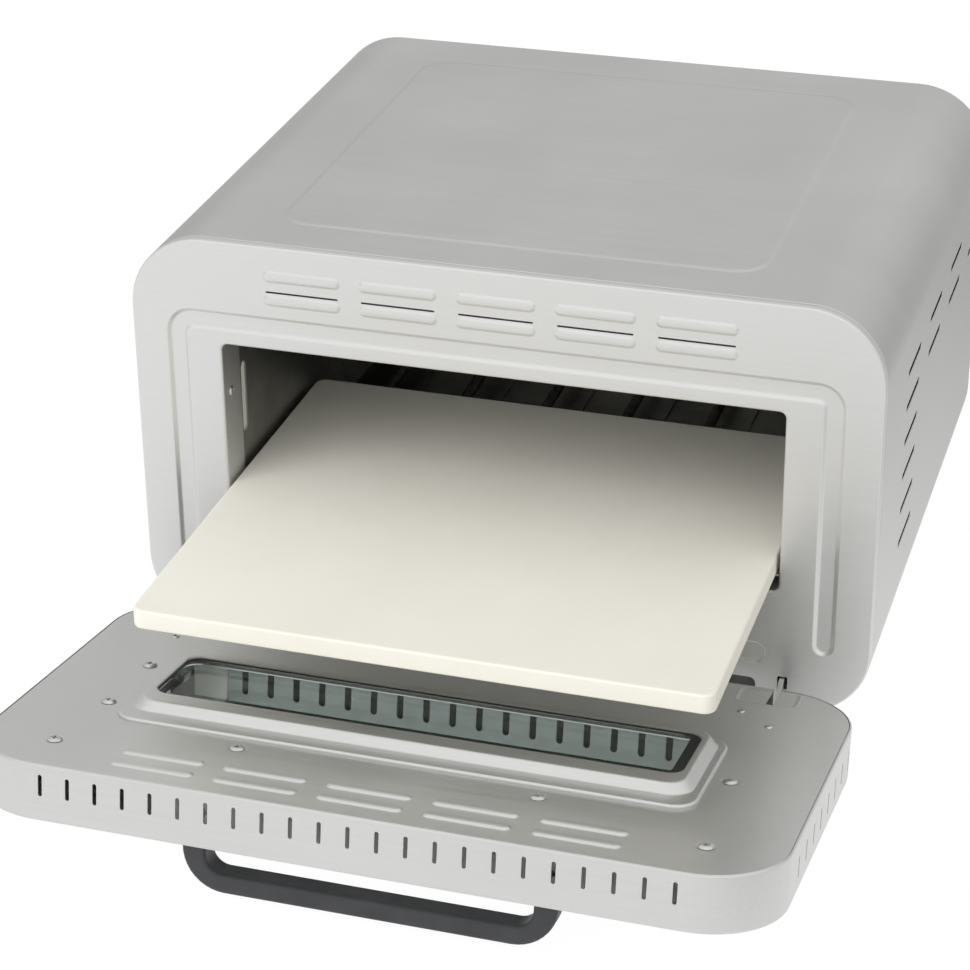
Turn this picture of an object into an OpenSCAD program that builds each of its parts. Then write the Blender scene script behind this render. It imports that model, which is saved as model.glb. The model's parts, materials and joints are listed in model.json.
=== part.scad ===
// Countertop pizza oven: box body, drop-down glazed door, sliding baking stone.
// Body frame before placing: x = 0 body centre, y = 0 front face (+y inwards), z = 0 body underside.
// The door is drawn closed and turned about its hinge pins into the open rest position.

/* [Body] */
// Width of the body
body_w = 450; // [440:1:500]
// Height of the body without its feet
body_h = 260; // [255:1:290]
// Depth of the body
body_d = 375; // [372:1:420]
// Radius of the four corners of the front outline
corner_r = 46; // [36:1:50]
// Thickness of the outer sheet
sheet_t = 1.2; // [0.8:0.1:1.4]
// Height of the feet
foot_h = 18; // [17:1:30]
// Radius of a foot
foot_r = 16; // [12:1:17]
// Distance of the feet from the body's sides
foot_side = 75; // [74:1:100]
// Distance of the front feet from the front face
foot_front_y = 45; // [35:1:80]
// Distance of the rear feet from the back edge
foot_back_y = 45; // [35:1:80]

/* [Roof field] */
// Distance of the roof's raised field from the sides
field_side = 79; // [70:1:90]
// Distance of the field from the front face
field_front = 38; // [30:1:50]
// Distance of the field from the back edge
field_back = 41; // [30:1:50]
// Corner radius of the field
field_r = 20; // [12:1:30]
// How far the field stands out of the roof
field_proud = 0.6; // [0.3:0.1:1]

/* [Front] */
// Height of the lower edge of the oven mouth
mouth_z0 = 80; // [78:1:84]
// Distance of the mouth's upper edge below the body's top
mouth_top = 65.3; // [62:0.1:70]
// Distance of the mouth's sides from the body's sides
mouth_side = 55.6; // [54:0.1:60]
// Depth of the mouth's inward flanges
jamb_d = 27; // [15:1:27]
// Depth of the front panel's edge rim
rim_d = 6; // [4:0.5:8]
// Dark gap between front panel and casing
rim_gap = 0.8; // [0.4:0.1:2]
// Distance of the groove from the mouth's sides
groove_side = 22.1; // [20:0.1:25]
// Distance of the groove above the mouth
groove_up = 9.3; // [8:0.1:11]
// Width of the groove
groove_w = 11; // [8:0.5:12]
// Depth of the groove
groove_d = 1.6; // [0.8:0.1:1.8]
// Height of the groove's rounded lower ends
groove_z0 = 42; // [30:1:60]

// Height of the low recess's lower edge
recess_z0 = 31; // [28:1:34]
// Height of the low recess
recess_h = 13; // [10:0.5:14]
// Height of the low vent's lower edge
low_vent_z0 = 9; // [8:0.5:11]
// Height of the low vent
low_vent_h = 11; // [9:0.5:12]

/* [Louvres] */
// Length of one louvre hood
louvre_l = 46.5; // [30:0.5:50]
// Distance between louvre hoods
louvre_pitch = 58.7; // [54:0.1:60]
// Height of a louvre hood
louvre_w = 6; // [4:0.5:7]
// How far a louvre stands out
louvre_proud = 1.6; // [1:0.1:1.7]
// Distance of the upper louvre row from the body's top
louvre_top = 18; // [15:1:20]
// Distance between the front's two louvre rows
louvre_gap = 15; // [12:1:16]

/* [Side vents] */
// Length of a side vent
vent_l = 47; // [30:1:50]
// Width of a side vent
vent_w = 4.4; // [2:0.1:5]
// Distance of the first column's middle from the front face
vent_y = 105; // [100:1:110]
// Distance between the columns of side vents
vent_pitch_y = 79; // [60:1:80]
// Distance of the top row below the body's top
vent_top = 72; // [65:1:80]
// Distance between the rows of side vents
vent_pitch_z = 22.6; // [18:0.1:24]
// Number of rows in the first column
vent_rows = 6; // [2:1:6]

/* [Cavity] */
// Depth of the cavity floor below the mouth
floor_drop = 15; // [14:0.5:20]
// Distance of the cavity ceiling below the body's top
roof_space = 46; // [40:1:48]
// Thickness of the cavity sheets
cavity_t = 1; // [0.8:0.1:1.2]
// Distance of the cavity's back from the body's back edge
cavity_back_gap = 12; // [11:1:14]
// Distance between the cavity floor's ribs
rib_pitch = 28; // [22:1:32]
// Width of a rib
rib_w = 10; // [6:1:14]
// Height of a rib
rib_h = 1.5; // [1:0.1:2]
// Distance of the ribs' ends from the cavity's front and back
rib_end = 54.9; // [40:0.1:70]
// Thickness of the roof blanket
blanket_t = 22; // [10:1:26]

/* [Heating] */
// Radius of the heating tubes
tube_r = 3.25; // [2.5:0.25:3.5]
// Distance between the tube runs
tube_pitch = 54.4; // [50:0.1:56]
// Radius of the tube's outer corners
tube_corner_r = 20; // [15:1:24]
// Height of the lower tube above the cavity floor
low_tube_up = 12; // [10:0.5:13]
// Distance of the upper tube below the cavity ceiling
high_tube_down = 10; // [8:0.5:12]
// Distance of the tubes' brackets from their front bends
bracket_in = 45; // [35:1:60]
// Distance of the tube's front bends from the front face
tube_front_y = 75; // [65:1:100]

/* [Stone] */
// Gap between the stone and the mouth's sides
stone_side = 2; // [1.5:0.1:8]
// Depth of the stone
stone_d = 313; // [290:1:313]
// Thickness of the stone
stone_t = 12; // [8:0.5:12]
// Height of the stone's underside above the mouth's lower edge
stone_up = 10; // [9.5:0.1:11]
// Radius of the stone's corners
stone_r = 7; // [4:1:20]
// How far the stone stands out of the front when the door is open
stone_out = 158; // [130:1:158]
// Gap between the stone and its rails
stone_gap = 0.3; // [0.2:0.05:0.5]
// Width of a rail's ledge
rail_w = 19; // [12:1:24]

/* [Door] */
// Thickness of the door
door_t = 33; // [30:1:36]
// Gap between the closed door and the front face
door_gap = 4; // [3.8:0.1:5]
// Thickness of the door sheets
door_sheet = 1; // [0.8:0.1:1.1]
// Distance of the hinge pins behind the door's inner face
hinge_in = 18; // [17:0.5:20]
// Height of the hinge pins
hinge_z = 6; // [6:0.25:7]
// Angle through which the door opens
open_angle = 80.23; // [60:0.01:84]
// Number of vent slots in the door's upper wall
door_slots = 23; // [11:2:23]
// Distance between the door's vent slots
door_slot_pitch = 15.84; // [12:0.01:16]
// Width of a vent slot
door_slot_w = 2.4; // [1.6:0.1:3]
// Distance of the vent slots from the door's inner face
door_slot_d0 = 5.6; // [5:0.1:8]
// Length of a vent slot
door_slot_l = 12.5; // [8:0.5:14]
// Number of vent slots in each side wall of the door
side_slots = 8; // [4:1:8]
// Distance between the slots of a side wall
side_slot_pitch = 21.1; // [16:0.1:21.5]
// Height of the lowest side slot on the closed door
side_slot_z0 = 45.7; // [44:0.1:60]
// Distance of the side slots from the door's inner face
side_slot_d0 = 11.5; // [5:0.1:14]

/* [Window] */
// Gap between the raised ring and the mouth's sides
ring_side = 13.4; // [12:0.1:16]
// Height of the ring's lower edge above the mouth's
ring_up = 12.5; // [11:0.1:14]
// Distance of the ring's upper edge below the mouth's
ring_down = 23.2; // [20:0.1:26]
// Width of the ring beside the pane
ring_w = 4.5; // [4:0.1:6]
// Width of the ring below the pane
ring_low_w = 7.5; // [7:0.1:9]
// Width of the ring above the pane
ring_top_w = 15; // [13:0.1:17]
// How far the ring stands out of the door
ring_proud = 7.5; // [6:0.1:7.5]
// How far the ledge under the ring stands out
ledge_proud = 2; // [1:0.1:2]
// Thickness of the window panes
glass_t = 4; // [3:0.5:4]
// Distance of the outer pane's opening below the ring
outer_drop = 20.5; // [16:0.5:24]
// Overlap of the outer pane over its opening
outer_lap = 8; // [5:0.5:8]

// Distance between the slots of the grey wall in the door
baffle_pitch = 16; // [12:0.1:16.6]
// Width of such a slot
baffle_slot_w = 4; // [3:0.1:6]

/* [Door screws] */
// Distance of the edge screws from the door's sides
edge_screw_side = 49; // [44:1:54]
// Distance of the lower left screw from the closed door's top
edge_screw_low = 154.3; // [150:0.1:158]
// Distance of the middle left screw from the closed door's top
edge_screw_mid = 95.4; // [90:0.1:100]
// Distance of the right screw from the closed door's top
right_screw_drop = 119.7; // [115:0.1:124]
// Distance of the top corner screws from the door's sides
top_screw_side = 43.5; // [40:0.5:48]
// Distance of the top corner screws from the closed door's top
top_screw_drop = 35; // [31:0.5:39]
// Distance of the inner screws from the centre line
inner_screw_x = 85; // [75:1:95]
// Distance of the inner screws from the closed door's top
inner_screw_drop = 61; // [56:1:64]

/* [Handle] */
// Half width of the handle over its legs
handle_hw = 106; // [80:1:120]
// Width of a leg
handle_leg = 13.5; // [11:0.5:16]
// How far the handle stands out of the door
handle_out = 41.5; // [35:0.5:42]
// Thickness of the grip bar
handle_bar = 11.5; // [9:0.5:13]
// Width of the bar across the door
handle_w = 16; // [12:1:20]
// Distance of the grip's middle below the closed door's top
handle_top = 41; // [38:1:50]

/* [Hinge] */
// Radius of the hinge pins
pin_r = 2.5; // [2:0.05:2.6]
// Running clearance round the pins
pin_fit = 0.05; // [0.02:0.01:0.1]
// Thickness of a hinge arm
arm_t = 3; // [2:0.1:3.2]
// Distance of the hinge arms outside the mouth's sides
arm_side = 4.6; // [4.5:0.1:6]
// Depth of the arms' inner ends
arm_back = 45; // [40:1:60]
// Radius of the eye at the arm's end
eye_r = 4.5; // [4.4:0.1:4.6]

/* [Controls] */
// Radius of the knobs
knob_r = 17; // [14:0.5:19]
// How far the knobs stand out of the side
knob_reach = 21; // [18:0.5:26]
// Distance of the knobs from the front face
knob_y = 75; // [60:1:90]
// Distance of the top knob below the body's top
knob_top = 84; // [80:1:90]
// Distance between the knobs
knob_pitch = 50; // [42:1:52]
// Radius of the knob spindles
spindle_r = 3; // [2.5:0.1:3.2]
// Running clearance round the spindles
spindle_fit = 0.05; // [0.02:0.01:0.1]

/* [Inlet] */
// Radius of the cord's passage
cord_r = 4.1; // [3.5:0.1:4.5]
// How far the gland stands out of the back
gland_out = 8; // [5:0.5:12]
// Distance of the gland from the body's side
gland_side = 83; // [75:1:105]
// Height of the gland
gland_z = 24; // [20:1:30]

// Length of the terminal block
terminal_l = 40; // [30:1:44]
// Width of the terminal block
terminal_w = 20; // [16:1:24]
// Height of the terminal block
terminal_h = 14; // [12:1:16]
// Distance between the block's screws
terminal_pitch = 12; // [8:0.5:13]

/* [Hidden] */
$fn = 64;
hull_fn = 32;
over = 1;                              // how far a cut runs past what it cuts

hw = body_w / 2;
mouth_hw = hw - mouth_side;
mouth_z1 = body_h - mouth_top;
groove_x = mouth_hw + groove_side;
groove_z1 = mouth_z1 + groove_up;
cavity_z0 = mouth_z0 - floor_drop;
cavity_z1 = body_h - roof_space;
stone_hw = mouth_hw - stone_side;
stone_z = mouth_z0 + stone_up;
arm_x = mouth_hw + arm_side;
wall_x = mouth_hw + sheet_t;           // inner face of the cavity sides, against the mouth's flanges
cavity_y0 = groove_d + sheet_t + 0.4;  // front edge of the cavity sheets, behind the groove
cavity_y1 = body_d - cavity_back_gap;
casing_y0 = rim_d + rim_gap;
back_y = body_d - 2 * sheet_t;         // inner face of the back panel
pan_hw = hw - corner_r - sheet_t;      // half width of the base pan
pan_top = 2 * sheet_t;
lip_x = pan_hw - 8;                    // inner edge of the casing's lips under the pan

door_in_y = -door_gap;                 // the closed door's inner plane
door_out_y = door_in_y - door_t;
hinge_y = door_in_y - hinge_in;
door_edge = 0.3;                       // seam between the door's wall and its inner panel
pane_y1 = door_in_y + ring_proud - door_sheet - 0.8;  // front of the inner pane, behind its gasket
gasket_t = 0.8;
pane_lap = 2.8;                        // how far the pane reaches under the ring
ring_hw = mouth_hw - ring_side;
ring_z0 = mouth_z0 + ring_up;
ring_z1 = mouth_z1 - ring_down;
pane_hw = ring_hw - ring_w;
pane_z0 = ring_z0 + ring_low_w;
pane_h = ring_z1 - ring_top_w - pane_z0;
outer_window_hw = ring_hw - 4;
outer_window_z0 = ring_z0 - outer_drop;
outer_window_z1 = ring_z1 + 0.5;
handle_z = body_h - handle_top;
foot_x = hw - foot_side;
gland_x = hw - gland_side;
knob_z = body_h - knob_top - 2 * knob_pitch;

// where the whole part stands: the middle of its box at rest, on the floor
door_reach = (body_h - hinge_z) * sin(open_angle) + (door_t - hinge_in) * cos(open_angle) - hinge_y;
front_y = (door_reach - body_d - gland_out) / 2;
centre_x = knob_reach / 2;

low_tube_z = cavity_z0 + low_tube_up;
high_tube_z = cavity_z1 - high_tube_down;
tube_back_y = cavity_y1 - 53;
tube_x = 2.5 * tube_pitch;
tube_end = 15;                         // how far a tube runs on outside the cavity

casing_color = [0.69, 0.69, 0.67];
panel_color = [0.85, 0.85, 0.84];
inner_color = [0.45, 0.45, 0.44];
dark_color = [0.13, 0.13, 0.13];
zinc_color = [0.72, 0.72, 0.7];
glass_color = [0.25, 0.3, 0.28, 0.5];
stone_color = [0.92, 0.91, 0.86];

// ---- placing ----
module in_body() translate([centre_x, front_y, foot_h]) children();
module in_door() in_body() translate([0, hinge_y, hinge_z]) rotate([open_angle, 0, 0])
    translate([0, -hinge_y, -hinge_z]) children();
module both_sides() for (s = [0, 1]) mirror([s, 0, 0]) children();
module xz(y, t) translate([0, y + t, 0]) rotate([90, 0, 0]) linear_extrude(t) children();
module yz(x, t) translate([x, 0, 0]) rotate([90, 0, 90]) linear_extrude(t) children();
module xy(z, t) translate([0, 0, z]) linear_extrude(t) children();
module block(a, b) translate(a) cube(b - a);
module rod_x(x, y, z, l, r) translate([x, y, z]) rotate([0, 90, 0]) cylinder(l, r, r);
module rod_y(x, y, z, l, r) translate([x, y, z]) rotate([-90, 0, 0]) cylinder(l, r, r);

// ---- outlines ----
module rounded(x0, x1, y0, y1, r) {
    translate([x0 + r, y0]) square([x1 - x0 - 2 * r, y1 - y0]);
    translate([x0, y0 + r]) square([x1 - x0, y1 - y0 - 2 * r]);
    for (x = [x0 + r, x1 - r], y = [y0 + r, y1 - r]) translate([x, y]) circle(r);
}
module outline(inset) rounded(inset - hw, hw - inset, inset, body_h - inset, corner_r - inset);
module slot_x(l, w) {
    square([l - w, w], center = true);
    for (s = [-1, 1]) translate([s * (l - w) / 2, 0]) circle(w / 2);
}
module slot_y(l, w) rotate(90) slot_x(l, w);
module groove_line(grow) difference() {
    w = groove_w + 2 * grow;
    x = groove_x - grow;
    union() {
        rounded(-x - w, x + w, groove_z0 + 2 * corner_r / 3, groove_z1 + groove_w + grow, 15 + grow);
        for (s = [-1, 1]) translate([s * (x + w / 2), (groove_z0 + groove_z1) / 2])
            slot_y(groove_z1 - groove_z0 + 2 * grow, w);
    }
    translate([0, -over]) rounded(-x, x, groove_z0 - w, groove_z1 - grow + over, 5);
}
// rows of half-round hoods standing out of a face at y, towards d = -1 (-y) or 1 (+y)
hood_r = (pow(louvre_w / 2, 2) + pow(louvre_proud, 2)) / (2 * louvre_proud);
module hoods(y, d, rows, shrink) for (i = [-2:2], z = rows)
    rod_x(i * louvre_pitch - louvre_l / 2 + shrink, y - d * (hood_r - louvre_proud), z,
        louvre_l - 2 * shrink, hood_r - shrink);
front_rows = [body_h - louvre_top, body_h - louvre_top - louvre_gap];
door_rows = [body_h - louvre_top - 0.2, body_h - louvre_top - 16.2];

// ---- fasteners ----
// A domed cross-head screw whose head sits on a face at the origin, head towards -y
module dome_screw(head_r, head_h, shank_r, l) {
    ball_r = (head_r * head_r + head_h * head_h) / (2 * head_h);
    difference() {
        intersection() {
            translate([0, ball_r - head_h, 0]) sphere(ball_r);
            rod_y(0, -head_h, 0, head_h, head_r);
        }
        for (a = [0, 90]) rotate([0, a, 0])
            translate([-head_r / 2, -head_h - over, -0.4]) cube([head_r, over + head_h / 2, 0.8]);
    }
    rod_y(0, 0, 0, l, shank_r);
}

// ---- casing ----
module side_vents(first) for (c = [first:3], r = [0:(c == 0 ? vent_rows - 1 : 1)])
    translate([vent_y + c * vent_pitch_y, body_h - vent_top - r * vent_pitch_z]) slot_x(vent_l, vent_w);
module wrap_casing() color(casing_color) in_body() difference() {
    union() {
        xz(casing_y0, body_d - casing_y0) difference() {
            outline(0);
            outline(sheet_t);
            translate([-lip_x, -over]) square([2 * lip_x, sheet_t + 2 * over]);
        }
        xy(body_h - sheet_t / 2, sheet_t / 2 + field_proud)
            rounded(field_side - hw, hw - field_side, field_front, body_d - field_back, field_r);
    }
    yz(hw - sheet_t - over, sheet_t + 2 * over) side_vents(0);
    yz(-hw - over, sheet_t + 2 * over) side_vents(1);
    for (i = [0:2]) rod_x(-hw - over, knob_y, knob_z + i * knob_pitch, sheet_t + 2 * over, bush_r + 0.2);
    rod_x(-hw - over, knob_y, lamp_z, sheet_t + 2 * over, lamp_r + 0.2);
}

hinge_slot_z0 = hinge_z + 9;
hinge_slot_z1 = hinge_z + 17.4;
jamb_screw_y = 12;
jamb_screw_z = mouth_z1 - 35.7;
vent_hw = mouth_hw - 11.4;
recess_hw = mouth_hw - 6.4;
recess_d = 1.5;
module recess(grow) rounded(-recess_hw - grow, recess_hw + grow, recess_z0 - grow, recess_z0 + recess_h + grow,
    recess_h / 2 - 0.5 + grow / 2);
module front_panel() color(panel_color) in_body() difference() {
    union() {
        xz(0, sheet_t) outline(0);
        xz(0, rim_d) difference() {
            outline(0);
            outline(sheet_t);
        }
        xz(0, jamb_d) rounded(-wall_x, wall_x, mouth_z0 - sheet_t, mouth_z1 + sheet_t, 4 + sheet_t);
        xz(0, groove_d + sheet_t) groove_line(sheet_t);
        xz(0, recess_d + sheet_t) recess(sheet_t);
        hoods(0, -1, front_rows, 0);
    }
    xz(-over, jamb_d + 2 * over) rounded(-mouth_hw, mouth_hw, mouth_z0, mouth_z1, 4);
    xz(-over, groove_d + over) groove_line(0);
    xz(-over, recess_d + over) recess(0);
    xz(-over, sheet_t + 2 * over) rounded(-vent_hw, vent_hw, low_vent_z0, low_vent_z0 + low_vent_h, 4);
    both_sides() xz(-over, sheet_t + 2 * over)
        translate([arm_x - 3, hinge_slot_z0]) square([6, hinge_slot_z1 - hinge_slot_z0]);
    difference() {
        hoods(0, -1, front_rows, 0.8);
        block([-hw, sheet_t, 0], [hw, 2 * hood_r, body_h]);
    }
    for (i = [-2:2], z = front_rows)
        translate([i * louvre_pitch - louvre_l / 2 + 2, -louvre_proud - over, z + louvre_w / 2 - 1.2])
            cube([louvre_l - 4, louvre_proud + over, 1.2]);
    both_sides() rod_x(mouth_hw - over, jamb_screw_y, jamb_screw_z, sheet_t + 2 * over, 1.7);
}

module back_panel() color(casing_color) in_body() difference() {
    xz(back_y, sheet_t) outline(sheet_t);
    for (r = [0:4], i = [-2:2]) xz(back_y - over, sheet_t + 2 * over)
        translate([i * (vent_l + 13), body_h - vent_top - 10 - r * 12]) slot_x(vent_l, vent_w);
    for (i = [-3:3]) xz(back_y - over, sheet_t + 2 * over) translate([i * 30, corner_r]) slot_y(26, vent_w);
    rod_y(-gland_x, back_y - over, gland_z, sheet_t + 2 * over, cord_r + 3.2);
    for (p = back_screw_spots) rod_y(p[0], back_y - over, p[1], sheet_t + 2 * over, 1.9);
}
back_screw_spots = [for (x = [-hw + 22, 0, hw - 22], z = [corner_r, body_h - 18]) if (x != 0 || z > corner_r)
    [x, x == 0 ? z : z > corner_r ? body_h - corner_r : z]];
module casing_screws() color(zinc_color) in_body() for (p = back_screw_spots)
    translate([p[0], back_y + sheet_t, p[1]]) rotate([0, 0, 180]) dome_screw(3.8, 2, 1.8, 9);

foot_spots = [for (x = [-foot_x, foot_x], y = [foot_front_y, body_d - foot_back_y]) [x, y]];
module base_pan() color(casing_color) in_body() difference() {
    xy(sheet_t, sheet_t) translate([-pan_hw, sheet_t]) square([2 * pan_hw, back_y - sheet_t]);
    for (x = [-90:30:90]) xy(sheet_t - over, sheet_t + 2 * over) translate([x, body_d / 2]) slot_y(70, 4);
    for (p = foot_spots) translate([p[0], p[1], 0]) cylinder(pan_top + over, 2.1, 2.1);
}
module feet() color(dark_color) in_body() for (p = foot_spots) translate([p[0], p[1], -foot_h]) difference() {
    union() {
        cylinder(3, foot_r - 3, foot_r);
        translate([0, 0, 3]) cylinder(foot_h + sheet_t - 3, foot_r, foot_r);
    }
    translate([0, 0, -over]) cylinder(foot_h - 6 + over, 5.5, 5.5);
    translate([0, 0, -over]) cylinder(foot_h + 2 * over + sheet_t, 2.1, 2.1);
}
module foot_screws() color(zinc_color) in_body() for (p = foot_spots) translate([p[0], p[1], -6])
    rotate([90, 0, 0]) dome_screw_up();
module dome_screw_up() mirror([0, 0, 1]) dome_screw(4.2, 2.4, 2, 6 + pan_top + 3);

// ---- cavity ----
module cavity_sides() color(inner_color) in_body() both_sides() difference() {
    yz(wall_x, cavity_t) translate([cavity_y0, cavity_z0 - cavity_t])
        square([cavity_y1 + cavity_t - cavity_y0, cavity_z1 + 2 * cavity_t - cavity_z0]);
    yz(wall_x - over, cavity_t + 2 * over) translate([jamb_d + 8, (mouth_z0 + mouth_z1) / 2 + 7]) slot_y(47, 8);
    for (z = [low_tube_z, high_tube_z]) rod_x(wall_x - over, tube_exit_y, z, cavity_t + 2 * over, tube_r + 0.3);
    rod_x(wall_x - over, jamb_screw_y, jamb_screw_z, cavity_t + 2 * over, 1.7);
}
tube_exit_y = tube_back_y + 15 + tube_corner_r;
module cavity_top() color(inner_color) in_body()
    xy(cavity_z1, cavity_t) translate([-wall_x, cavity_y0]) square([2 * wall_x, cavity_y1 - cavity_y0]);
module cavity_floor() color(inner_color) in_body() union() {
    xy(cavity_z0 - cavity_t, cavity_t) translate([-wall_x, cavity_y0])
        square([2 * wall_x, cavity_y1 - cavity_y0]);
    xy(cavity_z0 - cavity_t, cavity_t + rib_h) for (i = [-4.5:4.5])
        translate([i * rib_pitch, (cavity_y0 + cavity_y1) / 2])
            slot_y(cavity_y1 - cavity_y0 - 2 * rib_end, rib_w);
}
module cavity_back() color(inner_color) in_body()
    xz(cavity_y1, cavity_t) translate([-wall_x, cavity_z0 - cavity_t])
        square([2 * wall_x, cavity_z1 - cavity_z0 + 2 * cavity_t]);
leg_x = wall_x + cavity_t;
leg_spots = [foot_front_y + foot_r - 1, body_d - foot_back_y - foot_r - 14];
module cavity_legs() color(zinc_color) in_body() both_sides() for (y = leg_spots) {
    block([leg_x, y, pan_top], [leg_x + sheet_t, y + 20, cavity_z0 + 30]);
    block([leg_x, y, pan_top], [pan_hw - 0.3, y + 20, pan_top + sheet_t]);
}
module stone_rails() color(zinc_color) in_body() both_sides() union() {
    z = stone_z - stone_gap;
    block([wall_x - 1 - rail_w, cavity_y0, z - sheet_t], [mouth_hw - 0.5, cavity_y1 - 1, z]);
    block([mouth_hw - 0.5 - sheet_t, jamb_d + 1, z - sheet_t], [wall_x, cavity_y1 - 1, z]);
    block([wall_x - sheet_t, jamb_d + 1, low_tube_z + tube_r + 1], [wall_x, cavity_y1 - 1, z]);
}
module jamb_screws() color(zinc_color) in_body() both_sides()
    translate([mouth_hw, jamb_screw_y, jamb_screw_z]) rotate([0, 0, -90]) dome_screw(3.2, 1.6, 1.6, 6);

// ---- heating ----
// A tube laid to and fro in a level plane, leaving through both cavity sides
module heating_tube(z) {
    run_x = [for (i = [-2.5:2.5]) i * tube_pitch];
    for (x = run_x) {
        far = abs(x) > 2 * tube_pitch ? tube_exit_y - tube_corner_r : tube_back_y;
        rod_y(x, tube_front_y, z, far - tube_front_y, tube_r);
    }
    for (i = [-2, 0, 2])
        translate([i * tube_pitch, tube_front_y, z]) rotate([0, 0, 180]) bend(tube_pitch / 2, 180);
    for (i = [-1, 1]) translate([i * tube_pitch, tube_back_y, z]) bend(tube_pitch / 2, 180);
    both_sides() {
        translate([tube_x + tube_corner_r, tube_exit_y - tube_corner_r, z]) rotate([0, 0, 90])
            bend(tube_corner_r, 90);
        rod_x(tube_x + tube_corner_r, tube_exit_y, z, leg_x + tube_end - tube_x - tube_corner_r, tube_r);
    }
}
module bend(r, angle) rotate_extrude(angle = angle) translate([r, 0]) circle(tube_r);
module upper_heater() color(inner_color) in_body() heating_tube(high_tube_z);
module lower_heater() color(inner_color) in_body() heating_tube(low_tube_z);
bracket_hw = mouth_hw - rail_w - 2.4;
module heater_brackets() color(zinc_color) in_body()
    for (y = [tube_front_y + bracket_in, tube_back_y - bracket_in + 15]) {
    block([-bracket_hw, y, low_tube_z - tube_r - 1], [bracket_hw, y + 10, low_tube_z - tube_r]);
    block([-bracket_hw, y, high_tube_z - tube_r - 1], [bracket_hw, y + 10, high_tube_z - tube_r]);
    both_sides() {
        block([bracket_hw - 1, y, cavity_z0], [bracket_hw, y + 10, low_tube_z - tube_r]);
        block([bracket_hw - 1, y, high_tube_z - tube_r - 1], [bracket_hw, y + 10, cavity_z1]);
    }
}
module heater_terminals() color([0.9, 0.88, 0.84]) in_body() both_sides()
    for (z = [low_tube_z, high_tube_z]) difference() {
        union() {
            rod_x(leg_x, tube_exit_y, z, 9, 6.5);
            rod_x(leg_x, tube_exit_y, z, 4, 9);
        }
        rod_x(leg_x - over, tube_exit_y, z, 9 + 2 * over, tube_r + 0.05);
    }
module heat_shield() color(zinc_color) in_body() union() {
    block([-lip_x + 4, 10, 38], [lip_x - 4, back_y - 8, 39.2]);
    both_sides() block([lip_x - 5.2, 10, pan_top], [lip_x - 4, back_y - 8, 39.2]);
}
module roof_blanket() color([0.82, 0.8, 0.74]) in_body()
    block([-wall_x + 2, 15, cavity_z1 + cavity_t],
        [wall_x - 2, cavity_y1 - 4, cavity_z1 + cavity_t + blanket_t]);
module vent_baffle() color([0.35, 0.36, 0.35]) in_body()
    block([-vent_hw - 6, sheet_t, pan_top + 1.6], [vent_hw + 6, sheet_t + 1, low_vent_z0 + low_vent_h + 7]);
bulb_y = cavity_y1 - 6;
module sensor_bulbs() color([0.7, 0.45, 0.3]) in_body() for (z = [cavity_z0 + 6, mouth_z1 + 4]) {
    rod_x(-60, bulb_y, z, 80, 2.5);
    for (x = [-50, 8]) block([x, bulb_y + 2.2, z - 2], [x + 3, cavity_y1, z + 2]);
}

// ---- hinges ----
arm_z0 = hinge_z + 9.6;
arm_z1 = hinge_z + 16.8;
arm_rivets = [arm_back - 27, arm_back - 7];
arm_rivet_r = 2;
module hinge_arms() color(zinc_color) in_body() both_sides() yz(arm_x - arm_t / 2, arm_t) difference() {
    union() {
        translate([hinge_y, hinge_z]) circle(eye_r);
        polygon([[arm_back, arm_z0], [arm_back, arm_z1], [-1.9, arm_z1], [hinge_y - 1.9, hinge_z + 3.2],
            [hinge_y + 1.9, hinge_z - 3.2], [-0.8, arm_z0]]);
    }
    translate([hinge_y, hinge_z]) circle(pin_r + pin_fit);
    for (y = arm_rivets) translate([y, (arm_z0 + arm_z1) / 2]) circle(arm_rivet_r);
}
module arm_brackets() color(zinc_color) in_body() both_sides() {
    x = arm_x - arm_t / 2 - 1.2;
    block([x, arm_back - 37, pan_top], [x + 1.2, arm_back, arm_z1 + 7.2]);
    for (y = arm_rivets) rod_x(x, y, (arm_z0 + arm_z1) / 2, arm_t + 3, arm_rivet_r - 0.02);
}
ear_t = 1.6;
ear_gap = 0.5;
module hinge_brackets() color(zinc_color) in_door() both_sides() difference() {
    ear_y = door_in_y - door_sheet;
    union() {
        block([arm_x - 20, ear_y - ear_t, hinge_z + 22], [arm_x + 16, ear_y, hinge_z + 60]);
        for (x = [arm_x - arm_t / 2 - ear_gap - ear_t, arm_x + arm_t / 2 + ear_gap]) yz(x, ear_t) {
            translate([hinge_y, hinge_z]) circle(4.6);
            polygon([[hinge_y - 4.6, hinge_z], [hinge_y - 4.6, hinge_z + 26], [ear_y - ear_t, hinge_z + 40],
                [ear_y - ear_t, hinge_z + 22], [hinge_y + 4.6, hinge_z + 3]]);
        }
    }
    rod_x(arm_x - 10, hinge_y, hinge_z, 20, pin_r + 0.02);
    for (p = hinge_screw_spots) rod_y(p[0], ear_y - 3, p[1], 5, 1.5);
}
hinge_screw_spots = [[arm_x - 13.3, hinge_z + 34.4], [arm_x + 6, hinge_z + 51.3]];
module hinge_pins() color(zinc_color) in_door() both_sides() {
    x = arm_x - arm_t / 2 - ear_gap - ear_t;
    l = arm_t + 2 * ear_gap + 2 * ear_t;
    rod_x(x - 1, hinge_y, hinge_z, l + 2, pin_r);
    rod_x(x - 1.2, hinge_y, hinge_z, 1.2, 3.6);
    rod_x(x + l, hinge_y, hinge_z, 1.2, 3.6);
}
module hinge_screws() color(zinc_color) in_door() both_sides() for (p = hinge_screw_spots)
    translate([p[0], door_in_y, p[1]]) rotate([0, 0, 180]) dome_screw(2.8, 1.6, 1.4, 7);

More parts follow.
